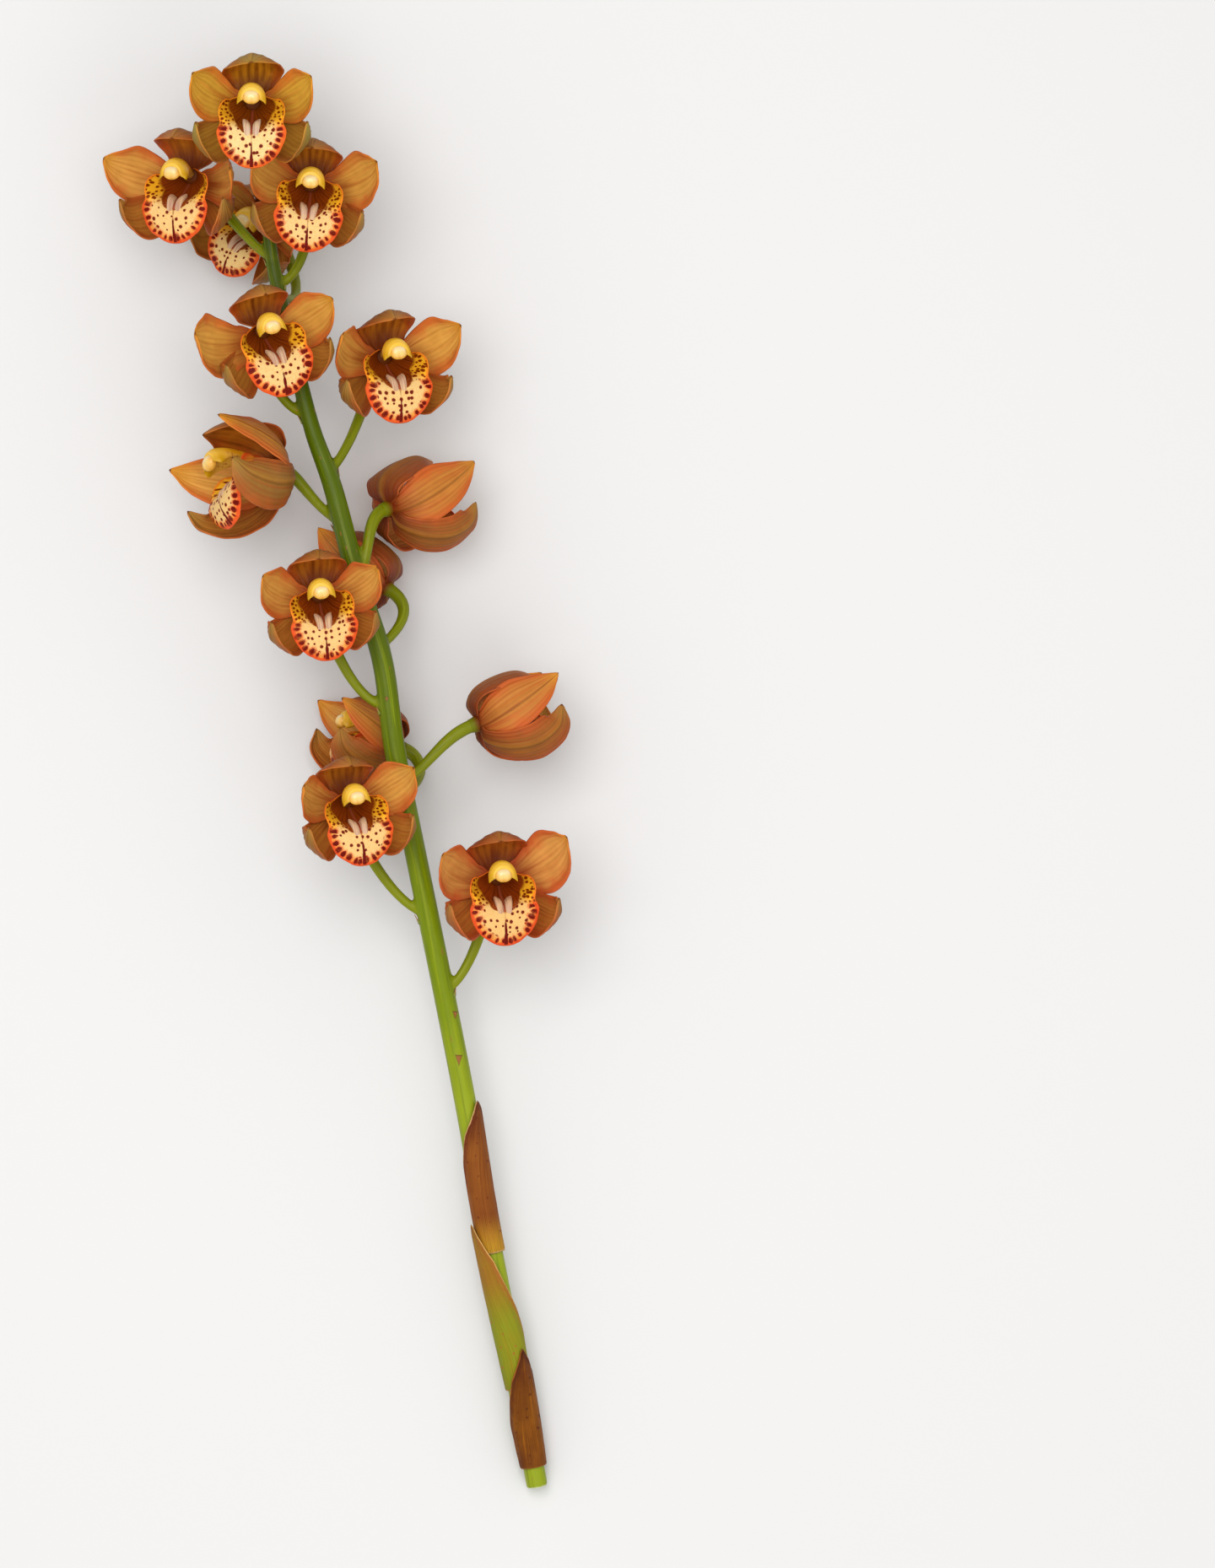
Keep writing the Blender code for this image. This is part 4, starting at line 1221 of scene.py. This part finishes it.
def makeTepalSkin():
    material, tree, shader = startMaterial("tepalSkin", 0.5, **{"Specular IOR Level": 0.12})
    across, along, rim = partsOf(tree, readAttribute(tree, "blade")["Vector"])
    kind, tint, seed = partsOf(tree, readAttribute(tree, "tone")["Vector"])
    front = readAttribute(tree, "front")["Fac"]
    isDorsal = minus(tree, 1.0, kind, clamp=True)
    isPetal = minus(tree, 1.0, calc(tree, "ABSOLUTE", minus(tree, kind, 1.0)), clamp=True)
    isLateral = minus(tree, 1.0, calc(tree, "ABSOLUTE", minus(tree, kind, 2.0)), clamp=True)

    def duo(pair):
        return blend(tree, tint, *pair)

    def pick(label):
        dorsal, petal, lateral = (duo(tepalColours[name][label]) for name in ("dorsal", "petal", "lateral"))
        return blend(tree, isLateral, blend(tree, isPetal, dorsal, petal), lateral)

    soft = useGroup(tree, mottle, {"Place": placeOf(tree), "Seed": seed, **tepals["mottle"]})
    sideways = calc(tree, "ABSOLUTE", across)
    uneven = timesPlus(tree, minus(tree, soft[0], 0.5), 0.3, sideways)
    lengthwise = vectorOf(tree, times(tree, across, 7.0), times(tree, along, 1.6))
    streaks = fade(tree, noise(tree, lengthwise, 1.0, 3.0, seed), 0.44, 0.68)
    depth = timesPlus(tree, sideways, 0.12, timesPlus(tree, streaks, -0.06, along))
    blade = {"Across": across, "Along": along, "Seed": seed}
    count = timesPlus(tree, isDorsal, -1.0, 11.0)
    fine = useGroup(tree, veins, {**blade, "Count": count, **tepals["fineVeins"]})[0]
    broad = useGroup(tree, veins, {**blade, **tepals["broadVeins"]})[0]

    inner = blend(tree, fade(tree, uneven, 0.4, 0.98), pick("middle"), pick("edge"))
    inner = layer(tree, inner, pick("edge"), streaks, 0.4)
    # darker towards the root: the tepal's own darker base, and painted shade deep in the cup
    inner = layer(tree, inner, pick("root"), fade(tree, depth, 0.50, 0.12))
    inner = layer(tree, inner, pick("tip"), fade(tree, along, 0.72, 1.0), 0.7)
    stripes = times(tree, broad, times(tree, isDorsal, 0.9), clamp=True)
    marks = calc(tree, "MAXIMUM", stripes, times(tree, fine, 0.36))
    inner = layer(tree, inner, pick("vein"), times(tree, marks, fade(tree, sideways, 0.98, 0.7)))

    outer = blend(tree, fade(tree, uneven, 0.35, 1.0), pick("back"), pick("backEdge"))
    outer = layer(tree, outer, pick("backEdge"), streaks, 0.6)
    outer = layer(tree, outer, pick("backRoot"), fade(tree, depth, 0.55, 0.08))
    outer = layer(tree, outer, pick("tip"), fade(tree, along, 0.8, 1.0), 0.6)
    bandStrength = minus(tree, 0.42, times(tree, isPetal, 0.3))
    outer = layer(tree, outer, duo(tepalColours["midrib"]), fade(tree, sideways, 0.26, 0.04), bandStrength)
    line = fade(tree, calc(tree, "ABSOLUTE", plus(tree, across, 0.12)), 0.09, 0.0)
    outer = layer(tree, outer, tepalColours["midribLine"], line, 0.45)
    outer = layer(tree, outer, pick("backRoot"), fine, 0.28)

    base = blend(tree, front, outer, inner)
    base = blend(tree, 1.0, base, blend(tree, soft[0], *tepalColours["shade"]), "MULTIPLY")
    thin = times(tree, fade(tree, rim, 1.2, 0.1), timesPlus(tree, soft[0], 0.35, 0.05))
    base = layer(tree, base, duo(tepalColours["rim"]), thin)
    base = layer(tree, base, tepalColours["point"], fade(tree, along, 0.975, 0.995), 0.9)
    # the funnel turns dark brown at the top: painted shade at the deep end of the throat
    receptacle = blend(tree, fade(tree, along, -4.0, 0.5), *tepalColours["receptacle"])
    base = layer(tree, base, receptacle, fade(tree, kind, 2.5, 2.9))
    tree.links.new(base, shader.inputs["Base Color"])
    tree.links.new(timesPlus(tree, soft[1], 0.2, 0.4), shader.inputs["Roughness"])
    addBump(tree, shader, timesPlus(tree, fine, -0.7, times(tree, soft[1], 0.35)), 0.35, 0.7)
    return material


# The lip: one sheet of ten stations, with two keels on its floor

lip = {
    "rows": 60,
    "columns": 64,
    "thickness": 0.9,
    "rimWidth": 0.8,
    "waveHeight": 1.8,
    "waveLength": 7.0,
    "squeeze": 0.025,
    "z": (2.6, 13.0, 22.0, 30.5, 36.5, 40.0, 42.5, 43.0, 41.0, 38.0),
    "floor": (-3.8, -8.6, -11.5, -13.5, -15.3, -17.6, -22.5, -28.5, -34.3, -39.4),
    "half": (4.8, 10.6, 16.3, 19.3, 20.8, 22.5, 25.5, 23.0, 18.0, 9.2),
    "rise": (5.0, 8.2, 9.2, 11.0, 12.0, 11.5, 9.5, 4.5, 2.0, 1.0),
    "wrap": (152.0, 128.0, 124.0, 119.0, 92.0, 63.0, 60.0, 60.0, 60.0, 60.0),
    "back": (0.0, 0.0, 1.0, 3.0, 3.0, 3.0, 3.5, 4.0, 3.0, 1.0),
    "tipBulge": 1.6,
    "inside": (0.0, 2.0, 38.0),
}
lipSpan = len(lip["z"]) - 1

keels = {
    "from": (3.4, 2.5),  # distance from the lip's middle and station at the back
    "to": (2.4, 6.35),
    "width": (5.0, 5.0, 4.6, 4.0, 2.6),
    "height": (2.2, 3.1, 3.0, 2.3, 0.6),
    "bluntTo": 0.06,
    "taperFrom": 0.76,
    "least": 0.05,
    "flatness": (0.85, 0.6),
    "slant": 0.6,
    "rings": 20,
    "sides": 14,
}


def lipPoints(s, t):
    angle = np.radians(readCurve(lip["wrap"], s)) * t
    x = readCurve(lip["half"], s) * np.sin(angle)
    y = readCurve(lip["floor"], s) + readCurve(lip["rise"], s) * (1 - np.cos(angle))
    y = y - lip["tipBulge"] * smooth(0.8, 1, s) * (1 - t * t)
    z = readCurve(lip["z"], s) - readCurve(lip["back"], s) * t * t
    return np.stack([x, y, z], axis=-1)


def squeezeLip(points, bloom):
    narrow = 1 - lip["squeeze"] * bloom["close"]
    return points * np.array([narrow, narrow, 1.0])


# One raised keel on the floor of the lip, rounded at the back and tapered to the front
def keelMesh(name, bloom, side):
    f = (1 - np.cos(np.linspace(0, np.pi, keels["rings"]))) / 2
    s = (keels["from"][1] + (keels["to"][1] - keels["from"][1]) * f) / lipSpan
    x = side * (keels["from"][0] + (keels["to"][0] - keels["from"][0]) * f)
    t = np.arcsin(x / readCurve(lip["half"], s)) / np.radians(readCurve(lip["wrap"], s))
    floor = lipPoints(s, t)
    taper = np.clip((f - keels["taperFrom"]) / (1 - keels["taperFrom"]), 0, 1)
    closing = np.sqrt(1 - (1 - np.clip(f / keels["bluntTo"], 0, 1)) ** 2) * np.sqrt(1 - taper**2)
    width = readCurve(keels["width"], f) / 2 * closing + keels["least"]
    height = readCurve(keels["height"], f) * closing + keels["least"]
    angle = np.arange(keels["sides"]) * 2 * np.pi / keels["sides"]
    sideways = np.sign(np.cos(angle)) * np.abs(np.cos(angle)) ** keels["flatness"][0]
    upward = np.sign(np.sin(angle)) * np.abs(np.sin(angle)) ** keels["flatness"][1]
    rings = []
    for k in range(keels["rings"]):
        lean = keels["slant"] * side * width[k] * sideways * (1 - f[k])
        ring = np.stack([width[k] * sideways, height[k] * upward + lean, angle * 0], axis=1)
        rings.append(ring + floor[k])
    points = np.concatenate(rings)
    zeros = np.zeros(len(points))
    attributes = {
        "lipPlace": points,
        "lipRim": np.stack([zeros, zeros - 5, zeros], axis=1),
        "own": points,
        "tone": np.stack([zeros + 1, zeros + bloom["tint"], zeros + bloom["number"]], axis=1),
        "front": zeros + 1,
    }
    faces = ringFaces(keels["rings"], keels["sides"])
    mesh = makeMesh(name, onBloom(squeezeLip(points, bloom), bloom), faces, attributes)
    turnOutward(mesh)
    return mesh


def lipMesh(name, bloom, material):
    s, t = sheetShares(lip)
    grid = lipPoints(s, t)
    middle = lip["columns"] // 2
    fromLeft = np.stack([wayAlong(row) for row in grid])
    across = fromLeft - fromLeft[:, middle:middle + 1]
    down = wayAlong(grid[:, middle])
    placed = onBloom(squeezeLip(grid, bloom), bloom)
    part = sheetPart(placed, s, t, onBloom(np.array(lip["inside"]), bloom), lip["rimWidth"])
    marks = part["attributes"]
    distance = marks["blade"][:, 2]
    seed = np.full(len(distance), bloom["number"] * 1.7)
    marks["lipPlace"] = np.stack([across.ravel(), np.repeat(down, lip["columns"] + 1), distance], axis=1)
    marks["lipRim"] = np.stack([part["way"], s.ravel() * lipSpan, t.ravel()], axis=1)
    marks["own"] = grid.reshape(-1, 3)
    marks["tone"] = np.stack([seed * 0, seed * 0 + bloom["tint"], seed], axis=1)
    skin = fleshOut(name, [part], material, lip, bloom["number"] + 30)
    return joinMeshes(name, [skin] + [keelMesh(name + "Keel", bloom, side) for side in (-1, 1)], material)


lipColours = {
    "cream": (paint(226, 196, 132), paint(220, 174, 106)),
    "speckle": paint(216, 150, 76),
    "yellow": paint(242, 178, 36),
    "blush": paint(222, 146, 62),
    "margin": (paint(220, 98, 34), paint(216, 76, 32)),
    "sideMargin": (paint(222, 142, 26), paint(226, 116, 30)),
    # dark red-brown of the throat; inside the lip it also stands for painted shade under the column
    "throat": (paint(136, 66, 6), paint(140, 56, 10)),
    "throatLine": paint(84, 24, 4),
    "spot": paint(100, 10, 0),
    "halo": paint(206, 62, 26),
    "smallSpot": paint(104, 28, 8),
    "smallHalo": paint(212, 132, 74),
    "sideSpot": paint(122, 46, 4),
    "sideHalo": paint(214, 128, 24),
    "groove": paint(150, 72, 44),
    "keelLine": paint(150, 88, 66),
    "back": (paint(226, 158, 46), paint(228, 134, 50)),
    "keel": (paint(200, 170, 146), paint(192, 150, 124)),
}
lipMarks = {
    "mottle": {"Patch Size": 5.0, "Grain Size": 0.4},
    "stripes": {"Count": 20.0, "Width": 0.5, "Waver": 0.3},
    "rimSpots": {"Spacing": 5.1, "Row": 3.9, "Size": 2.0, "Stretch": 1.2},
    "sideSpots": {"Cell": 2.6, "Size": 0.37, "Chance": 0.95},
    "innerSpots": {"Cell": 4.4, "Size": 0.25, "Chance": 0.85},
    # the dark mouth of the throat seen from the front: the throat's own colour and painted shade under the
    # column
    "throat": {"half": 14.0, "low": -19.2, "height": 16.7, "power": 0.32},
}


def makeLipSkin():
    material, tree, shader = startMaterial("lipSkin", 0.45, **{"Specular IOR Level": 0.08})
    place = readAttribute(tree, "lipPlace")["Vector"]
    across, down, rim = partsOf(tree, place)
    way, station, t = partsOf(tree, readAttribute(tree, "lipRim")["Vector"])
    x, y, z = partsOf(tree, readAttribute(tree, "own")["Vector"])
    isKeel, tint, seed = partsOf(tree, readAttribute(tree, "tone")["Vector"])
    front = readAttribute(tree, "front")["Fac"]
    soft = useGroup(tree, mottle, {"Place": place, "Seed": seed, **lipMarks["mottle"]})
    uneven = minus(tree, soft[0], 0.5)
    sideways = calc(tree, "ABSOLUTE", x)

    def duo(pair):
        return blend(tree, tint, *pair)

    # yellow side lobes, a cream middle lobe and the coloured margin
    lobe = fade(tree, y, -9.0, -16.0)
    blush = fade(tree, timesPlus(tree, uneven, 2.0, rim), 7.4, 3.2)
    middle = blend(tree, blush, duo(lipColours["cream"]), lipColours["blush"])
    dust = fade(tree, noise(tree, place, 0.9, 3.0, seed), 0.5, 0.66)
    middle = layer(tree, middle, lipColours["speckle"], dust, 0.5)
    base = blend(tree, lobe, lipColours["yellow"], middle)
    edgeWidth = timesPlus(tree, lobe, 1.2, timesPlus(tree, uneven, 1.4, 1.4))
    margin = blend(tree, lobe, duo(lipColours["sideMargin"]), duo(lipColours["margin"]))
    base = layer(tree, base, margin, within(tree, rim, edgeWidth, 0.8))

    # the dark throat with its lines: the throat's own dark red-brown, and painted shade under the column
    stations = calc(tree, "DIVIDE", station, float(lipSpan))
    stripes = useGroup(tree, veins, {"Across": t, "Along": stations, "Seed": seed, **lipMarks["stripes"]})[0]
    deep = layer(tree, duo(lipColours["throat"]), lipColours["throatLine"], stripes, 0.75)
    throat = lipMarks["throat"]
    level = calc(tree, "DIVIDE", minus(tree, y, throat["low"]), throat["height"], clamp=True)
    reach = times(tree, calc(tree, "POWER", level, throat["power"]), throat["half"])
    mouth = within(tree, sideways, plus(tree, uneven, reach), 0.6)
    # the far back of the lip under the column is dark all across: painted shade, on the throat's own dark
    # colour
    farBackPaintedShade = times(tree, fade(tree, station, 2.1, 1.6), fade(tree, rim, 0.3, 0.9))
    throatWithPaintedShade = calc(tree, "MAXIMUM", times(tree, mouth, fade(tree, rim, 2.4, 3.6)), farBackPaintedShade)
    base = layer(tree, base, deep, throatWithPaintedShade)

    # close spots on the side lobes, small ones inside the middle lobe and a row of large ones along its rim
    sidePlace = vectorOf(tree, x, timesPlus(tree, z, -0.1, y))
    sideSpots = useGroup(tree, spots, {"Place": sidePlace, "Seed": seed, **lipMarks["sideSpots"]})
    sideArea = times(tree, fade(tree, y, -16.0, -13.0), fade(tree, rim, 0.3, 0.9))
    sideArea = times(tree, sideArea, minus(tree, 1.0, throatWithPaintedShade))
    innerPlace = vectorOf(tree, across, down)
    innerSpots = useGroup(tree, spots, {"Place": innerPlace, "Seed": seed, **lipMarks["innerSpots"]})
    innerArea = times(tree, fade(tree, y, -13.0, -15.0), fade(tree, rim, 5.6, 6.6))
    rowSpots = useGroup(tree, rimSpots, {"Way": way, "Distance": rim, "Seed": seed, **lipMarks["rimSpots"]})
    rowArea = fade(tree, y, -13.5, -15.5)
    base = layer(tree, base, lipColours["sideHalo"], times(tree, sideSpots[1], sideArea), 0.6)
    base = layer(tree, base, lipColours["sideSpot"], times(tree, sideSpots[0], sideArea))
    base = layer(tree, base, lipColours["smallHalo"], times(tree, innerSpots[1], innerArea), 0.5)
    base = layer(tree, base, lipColours["smallSpot"], times(tree, innerSpots[0], innerArea))
    base = layer(tree, base, lipColours["halo"], times(tree, rowSpots[1], rowArea), 0.8)

    # the dark line down the middle lobe, and the groove between the keels
    lineWidth = timesPlus(tree, fade(tree, y, -26.0, -36.0), 0.5, 0.5)
    lineWidth = timesPlus(tree, uneven, 0.5, lineWidth)
    midline = fade(tree, sideways, plus(tree, lineWidth, 0.3), minus(tree, lineWidth, 0.2))
    midline = times(tree, midline, fade(tree, y, -24.5, -26.5))
    midline = times(tree, midline, fade(tree, rim, 0.8, 1.6))
    dark = calc(tree, "MAXIMUM", times(tree, rowSpots[0], rowArea), midline)
    base = layer(tree, base, lipColours["spot"], dark)
    groove = times(tree, fade(tree, sideways, 1.3, 0.3), fade(tree, y, -21.0, -19.0))
    base = layer(tree, base, lipColours["groove"], groove)

    outside = blend(tree, fade(tree, rim, 5.0, 1.0), duo(lipColours["back"]), duo(lipColours["margin"]))
    outside = layer(tree, outside, lipColours["throat"][1], stripes, 0.35)
    base = blend(tree, front, outside, base)
    keel = layer(tree, duo(lipColours["keel"]), duo(lipColours["cream"]), soft[0], 0.4)
    keelPlace = vectorOf(tree, times(tree, x, 1.3), times(tree, z, 0.08))
    keelLines = fade(tree, noise(tree, keelPlace, 1.0, 1.0, seed), 0.5, 0.62)
    keel = layer(tree, keel, lipColours["keelLine"], keelLines, 0.5)
    keel = layer(tree, keel, duo(lipColours["cream"]), fade(tree, y, -19.5, -23.5))
    base = layer(tree, base, keel, isKeel)
    tree.links.new(base, shader.inputs["Base Color"])
    tree.links.new(timesPlus(tree, soft[1], 0.2, 0.34), shader.inputs["Roughness"])
    addBump(tree, shader, timesPlus(tree, stripes, -0.3, soft[1]), 0.25, 0.6)
    return material


# The column and the anther cap under its hood

column = {
    "rings": 34,
    "sides": 36,
    "z": (3.4, 12.0, 24.0, 34.0, 40.5, 43.6),
    "top": (5.0, 8.0, 12.0, 13.2, 12.6, 10.8),
    "wing": (1.5, 3.5, 5.5, 3.3, -0.5, 0.9),
    "under": (-1.0, 1.0, 3.8, 7.6, 8.4, 8.2),
    "half": (3.4, 4.3, 6.0, 8.8, 9.2, 7.6),
    "hug": (2.0, 2.0, 2.0, 1.6, 1.2, 1.0),  # power of the curve across the underside
    "rounding": [(0.93, 0.5), (0.82, 0.8), (0.6, 0.7), (0.3, 0.4)],  # scale and reach of rings past the tip
    "base": paint(160, 92, 12),
    "body": paint(226, 166, 24),
    "tip": paint(226, 178, 52),
    # low: darker olive on the lower sides of the hood, a painted shade
    "low": paint(196, 148, 14),
    "belly": paint(226, 178, 74),
    "dots": paint(150, 48, 20),
    "mottle": {"Patch Size": 4.0, "Grain Size": 0.4},
    "speckles": {"Cell": 2.4, "Size": 0.3, "Chance": 0.8},
}

cap = {
    "centre": (0.0, 3.9, 43.3),
    "radii": (5.6, 4.4, 4.0),
    "segments": 24,
    "rings": 14,
    "groove": 0.16,
    "grooveWidth": 0.16,
    "colour": paint(224, 190, 108),
    # a painted highlight on the cap's top
    "light": paint(228, 206, 152),
    # painted shade on the cap's sides and underside
    "side": paint(220, 158, 46),
    "mottle": {"Patch Size": 0.9, "Grain Size": 0.12},
}


def columnMesh(name, bloom, material):
    share = np.linspace(0, 1, column["rings"])
    angle = np.arange(column["sides"]) * 2 * np.pi / column["sides"]
    labels = ("z", "top", "wing", "under", "half", "hug")
    z, top, wing, under, half, hug = (readCurve(column[label], share)[:, None] for label in labels)
    x = half * np.cos(angle)
    above = wing + (top - wing) * np.sin(angle)
    below = under + (wing - under) * np.abs(np.cos(angle)) ** hug
    y = np.where(np.sin(angle) >= 0, above, below)
    rings = list(np.stack([x, y, z + x * 0], axis=-1))
    last = rings[-1]
    for scale, reach in column["rounding"]:
        rings.append(last.mean(axis=0) + (last - last.mean(axis=0)) * scale + np.array([0.0, 0.0, reach]))
    points = np.concatenate(rings)
    mesh = makeMesh(name, onBloom(points, bloom), ringFaces(len(rings), column["sides"]), {"own": points})
    mesh.materials.append(material)
    turnOutward(mesh)
    return mesh


def makeColumnSkin():
    material, tree, shader = startMaterial("columnSkin", 0.36, **{"Specular IOR Level": 0.4})
    own = readAttribute(tree, "own")["Vector"]
    x, y, z = partsOf(tree, own)
    soft = useGroup(tree, mottle, {"Place": own, "Seed": 1.0, **column["mottle"]})
    base = blend(tree, fade(tree, z, 6.0, 24.0), column["base"], column["body"])
    base = layer(tree, base, column["tip"], fade(tree, z, 30.0, 43.0))
    # darker on the lower sides near the hood: painted shade
    base = layer(tree, base, column["low"], times(tree, fade(tree, y, 7.5, 2.0), fade(tree, z, 34.0, 40.0)))
    height = minus(tree, y, timesPlus(tree, z, 0.16, 1.5))
    below = times(tree, fade(tree, height, 1.0, -1.0), fade(tree, z, 40.0, 34.0))
    base = layer(tree, base, column["belly"], below)
    speckles = useGroup(tree, spots, {"Place": vectorOf(tree, x, z), "Seed": 9.0, **column["speckles"]})[0]
    base = layer(tree, base, column["dots"], speckles, times(tree, below, 0.7))
    base = layer(tree, base, column["body"], soft[0], 0.2)
    tree.links.new(base, shader.inputs["Base Color"])
    addBump(tree, shader, soft[1], 0.15, 0.5)
    return material


def capMesh(name, bloom, material):
    body = bmesh.new()
    bmesh.ops.create_uvsphere(body, u_segments=cap["segments"], v_segments=cap["rings"], radius=1.0)
    points = np.array([vertex.co[:] for vertex in body.verts])
    faces = [[vertex.index for vertex in face.verts] for face in body.faces]
    body.free()
    lowFront = smooth(-0.2, 0.6, points[:, 2]) * smooth(0.5, -0.4, points[:, 1])
    dent = cap["groove"] * np.exp(-((points[:, 0] / cap["grooveWidth"]) ** 2)) * lowFront
    shaped = points * (1 - dent)[:, None] * np.array(cap["radii"])
    mesh = makeMesh(name, onBloom(shaped + np.array(cap["centre"]), bloom), faces, {"own": points})
    mesh.materials.append(material)
    turnOutward(mesh)
    return mesh


def makeCapSkin():
    material, tree, shader = startMaterial("capSkin", 0.28, **{"Coat Weight": 0.2, "Coat Roughness": 0.15})
    own = readAttribute(tree, "own")["Vector"]
    x, y, _ = partsOf(tree, own)
    soft = useGroup(tree, mottle, {"Place": own, "Seed": 6.0, **cap["mottle"]})
    # lighter towards the top: a painted highlight
    base = blend(tree, fade(tree, y, -0.1, 0.5), cap["colour"], cap["light"])
    # darker towards the sides and the underside: painted shade
    base = layer(tree, base, cap["side"], fade(tree, calc(tree, "ABSOLUTE", x), 0.45, 1.0))
    base = layer(tree, base, cap["side"], fade(tree, y, 0.0, -0.9), 0.85)
    base = layer(tree, base, cap["side"], soft[0], 0.2)
    tree.links.new(base, shader.inputs["Base Color"])
    addBump(tree, shader, soft[1], 0.08, 0.4)
    return material


# What a bloom is made of: the end of the piece's name, the function that shapes it, its material and its slot
bloomPieces = (
    ("Tepals", tepalsMesh, makeTepalSkin(), "tepals"),
    ("Lip", lipMesh, makeLipSkin(), "lip"),
    ("Column", columnMesh, makeColumnSkin(), "column"),
    ("Cap", capMesh, makeCapSkin(), "anther_cap"),
)
for bloom in blooms:
    number = f"{bloom['number']:02d}"
    for ending, makeShape, material, slot in bloomPieces:
        name = f"bloom{number}{ending}"
        addPiece(name, makeShape(name, bloom, material), slot, f"bloom_{number}_{slot}")
    print("bloom", number, "made")


# Floor and light

studio = {
    "floorLevel": -0.8,
    "floorSize": 40000,
    "floorColour": paint(212, 211, 210),
    "worldStrength": 0.82,
    "lights": [
        # name, place, size and power in watts
        ("key", (-300, 500, 2400), 1600, 33.0),
        ("fill", (600, -1500, 1900), 2000, 12.5),
    ],
}


def addFloor():
    half = studio["floorSize"] / 2
    around = ((-half, -half), (half, -half), (half, half), (-half, half))
    corners = [(x, y, studio["floorLevel"]) for x, y in around]
    floor = bpy.data.objects.new("floor", makeMesh("floor", corners, [(0, 1, 2, 3)]))
    material, _, shader = startMaterial("floorPaper", 0.9)
    shader.inputs["Base Color"].default_value = studio["floorColour"]
    floor.data.materials.append(material)
    bpy.context.scene.collection.objects.link(floor)


def addLights():
    for name, place, size, power in studio["lights"]:
        data = bpy.data.lights.new(name, "AREA")
        data.size = size * mm
        data.energy = power
        light = bpy.data.objects.new(name, data)
        light.location = Vector(place) * mm
        light.rotation_euler = (-Vector(place)).to_track_quat("-Z", "Y").to_euler()
        light.visible_camera = False
        bpy.context.scene.collection.objects.link(light)
    world = bpy.data.worlds.new("studio")
    world.use_nodes = True
    tree = world.node_tree
    glow = tree.nodes["Background"]
    glow.inputs["Color"].default_value = (1.0, 1.0, 1.0, 1.0)
    glow.inputs["Strength"].default_value = studio["worldStrength"]
    # the camera sees the far floor's own tone, so no horizon shows
    backdrop = addNode(tree, "ShaderNodeBackground", {0: studio["floorColour"], 1: studio["worldStrength"]})
    seen = addNode(tree, "ShaderNodeLightPath").outputs["Is Camera Ray"]
    mixed = addNode(tree, "ShaderNodeMixShader", {0: seen, 1: glow.outputs[0], 2: backdrop.outputs[0]})
    tree.links.new(mixed.outputs[0], tree.nodes["World Output"].inputs["Surface"])
    bpy.context.scene.world = world
    bpy.context.scene.view_settings.view_transform = "Standard"


addFloor()
addLights()
print("floor and lights ready")
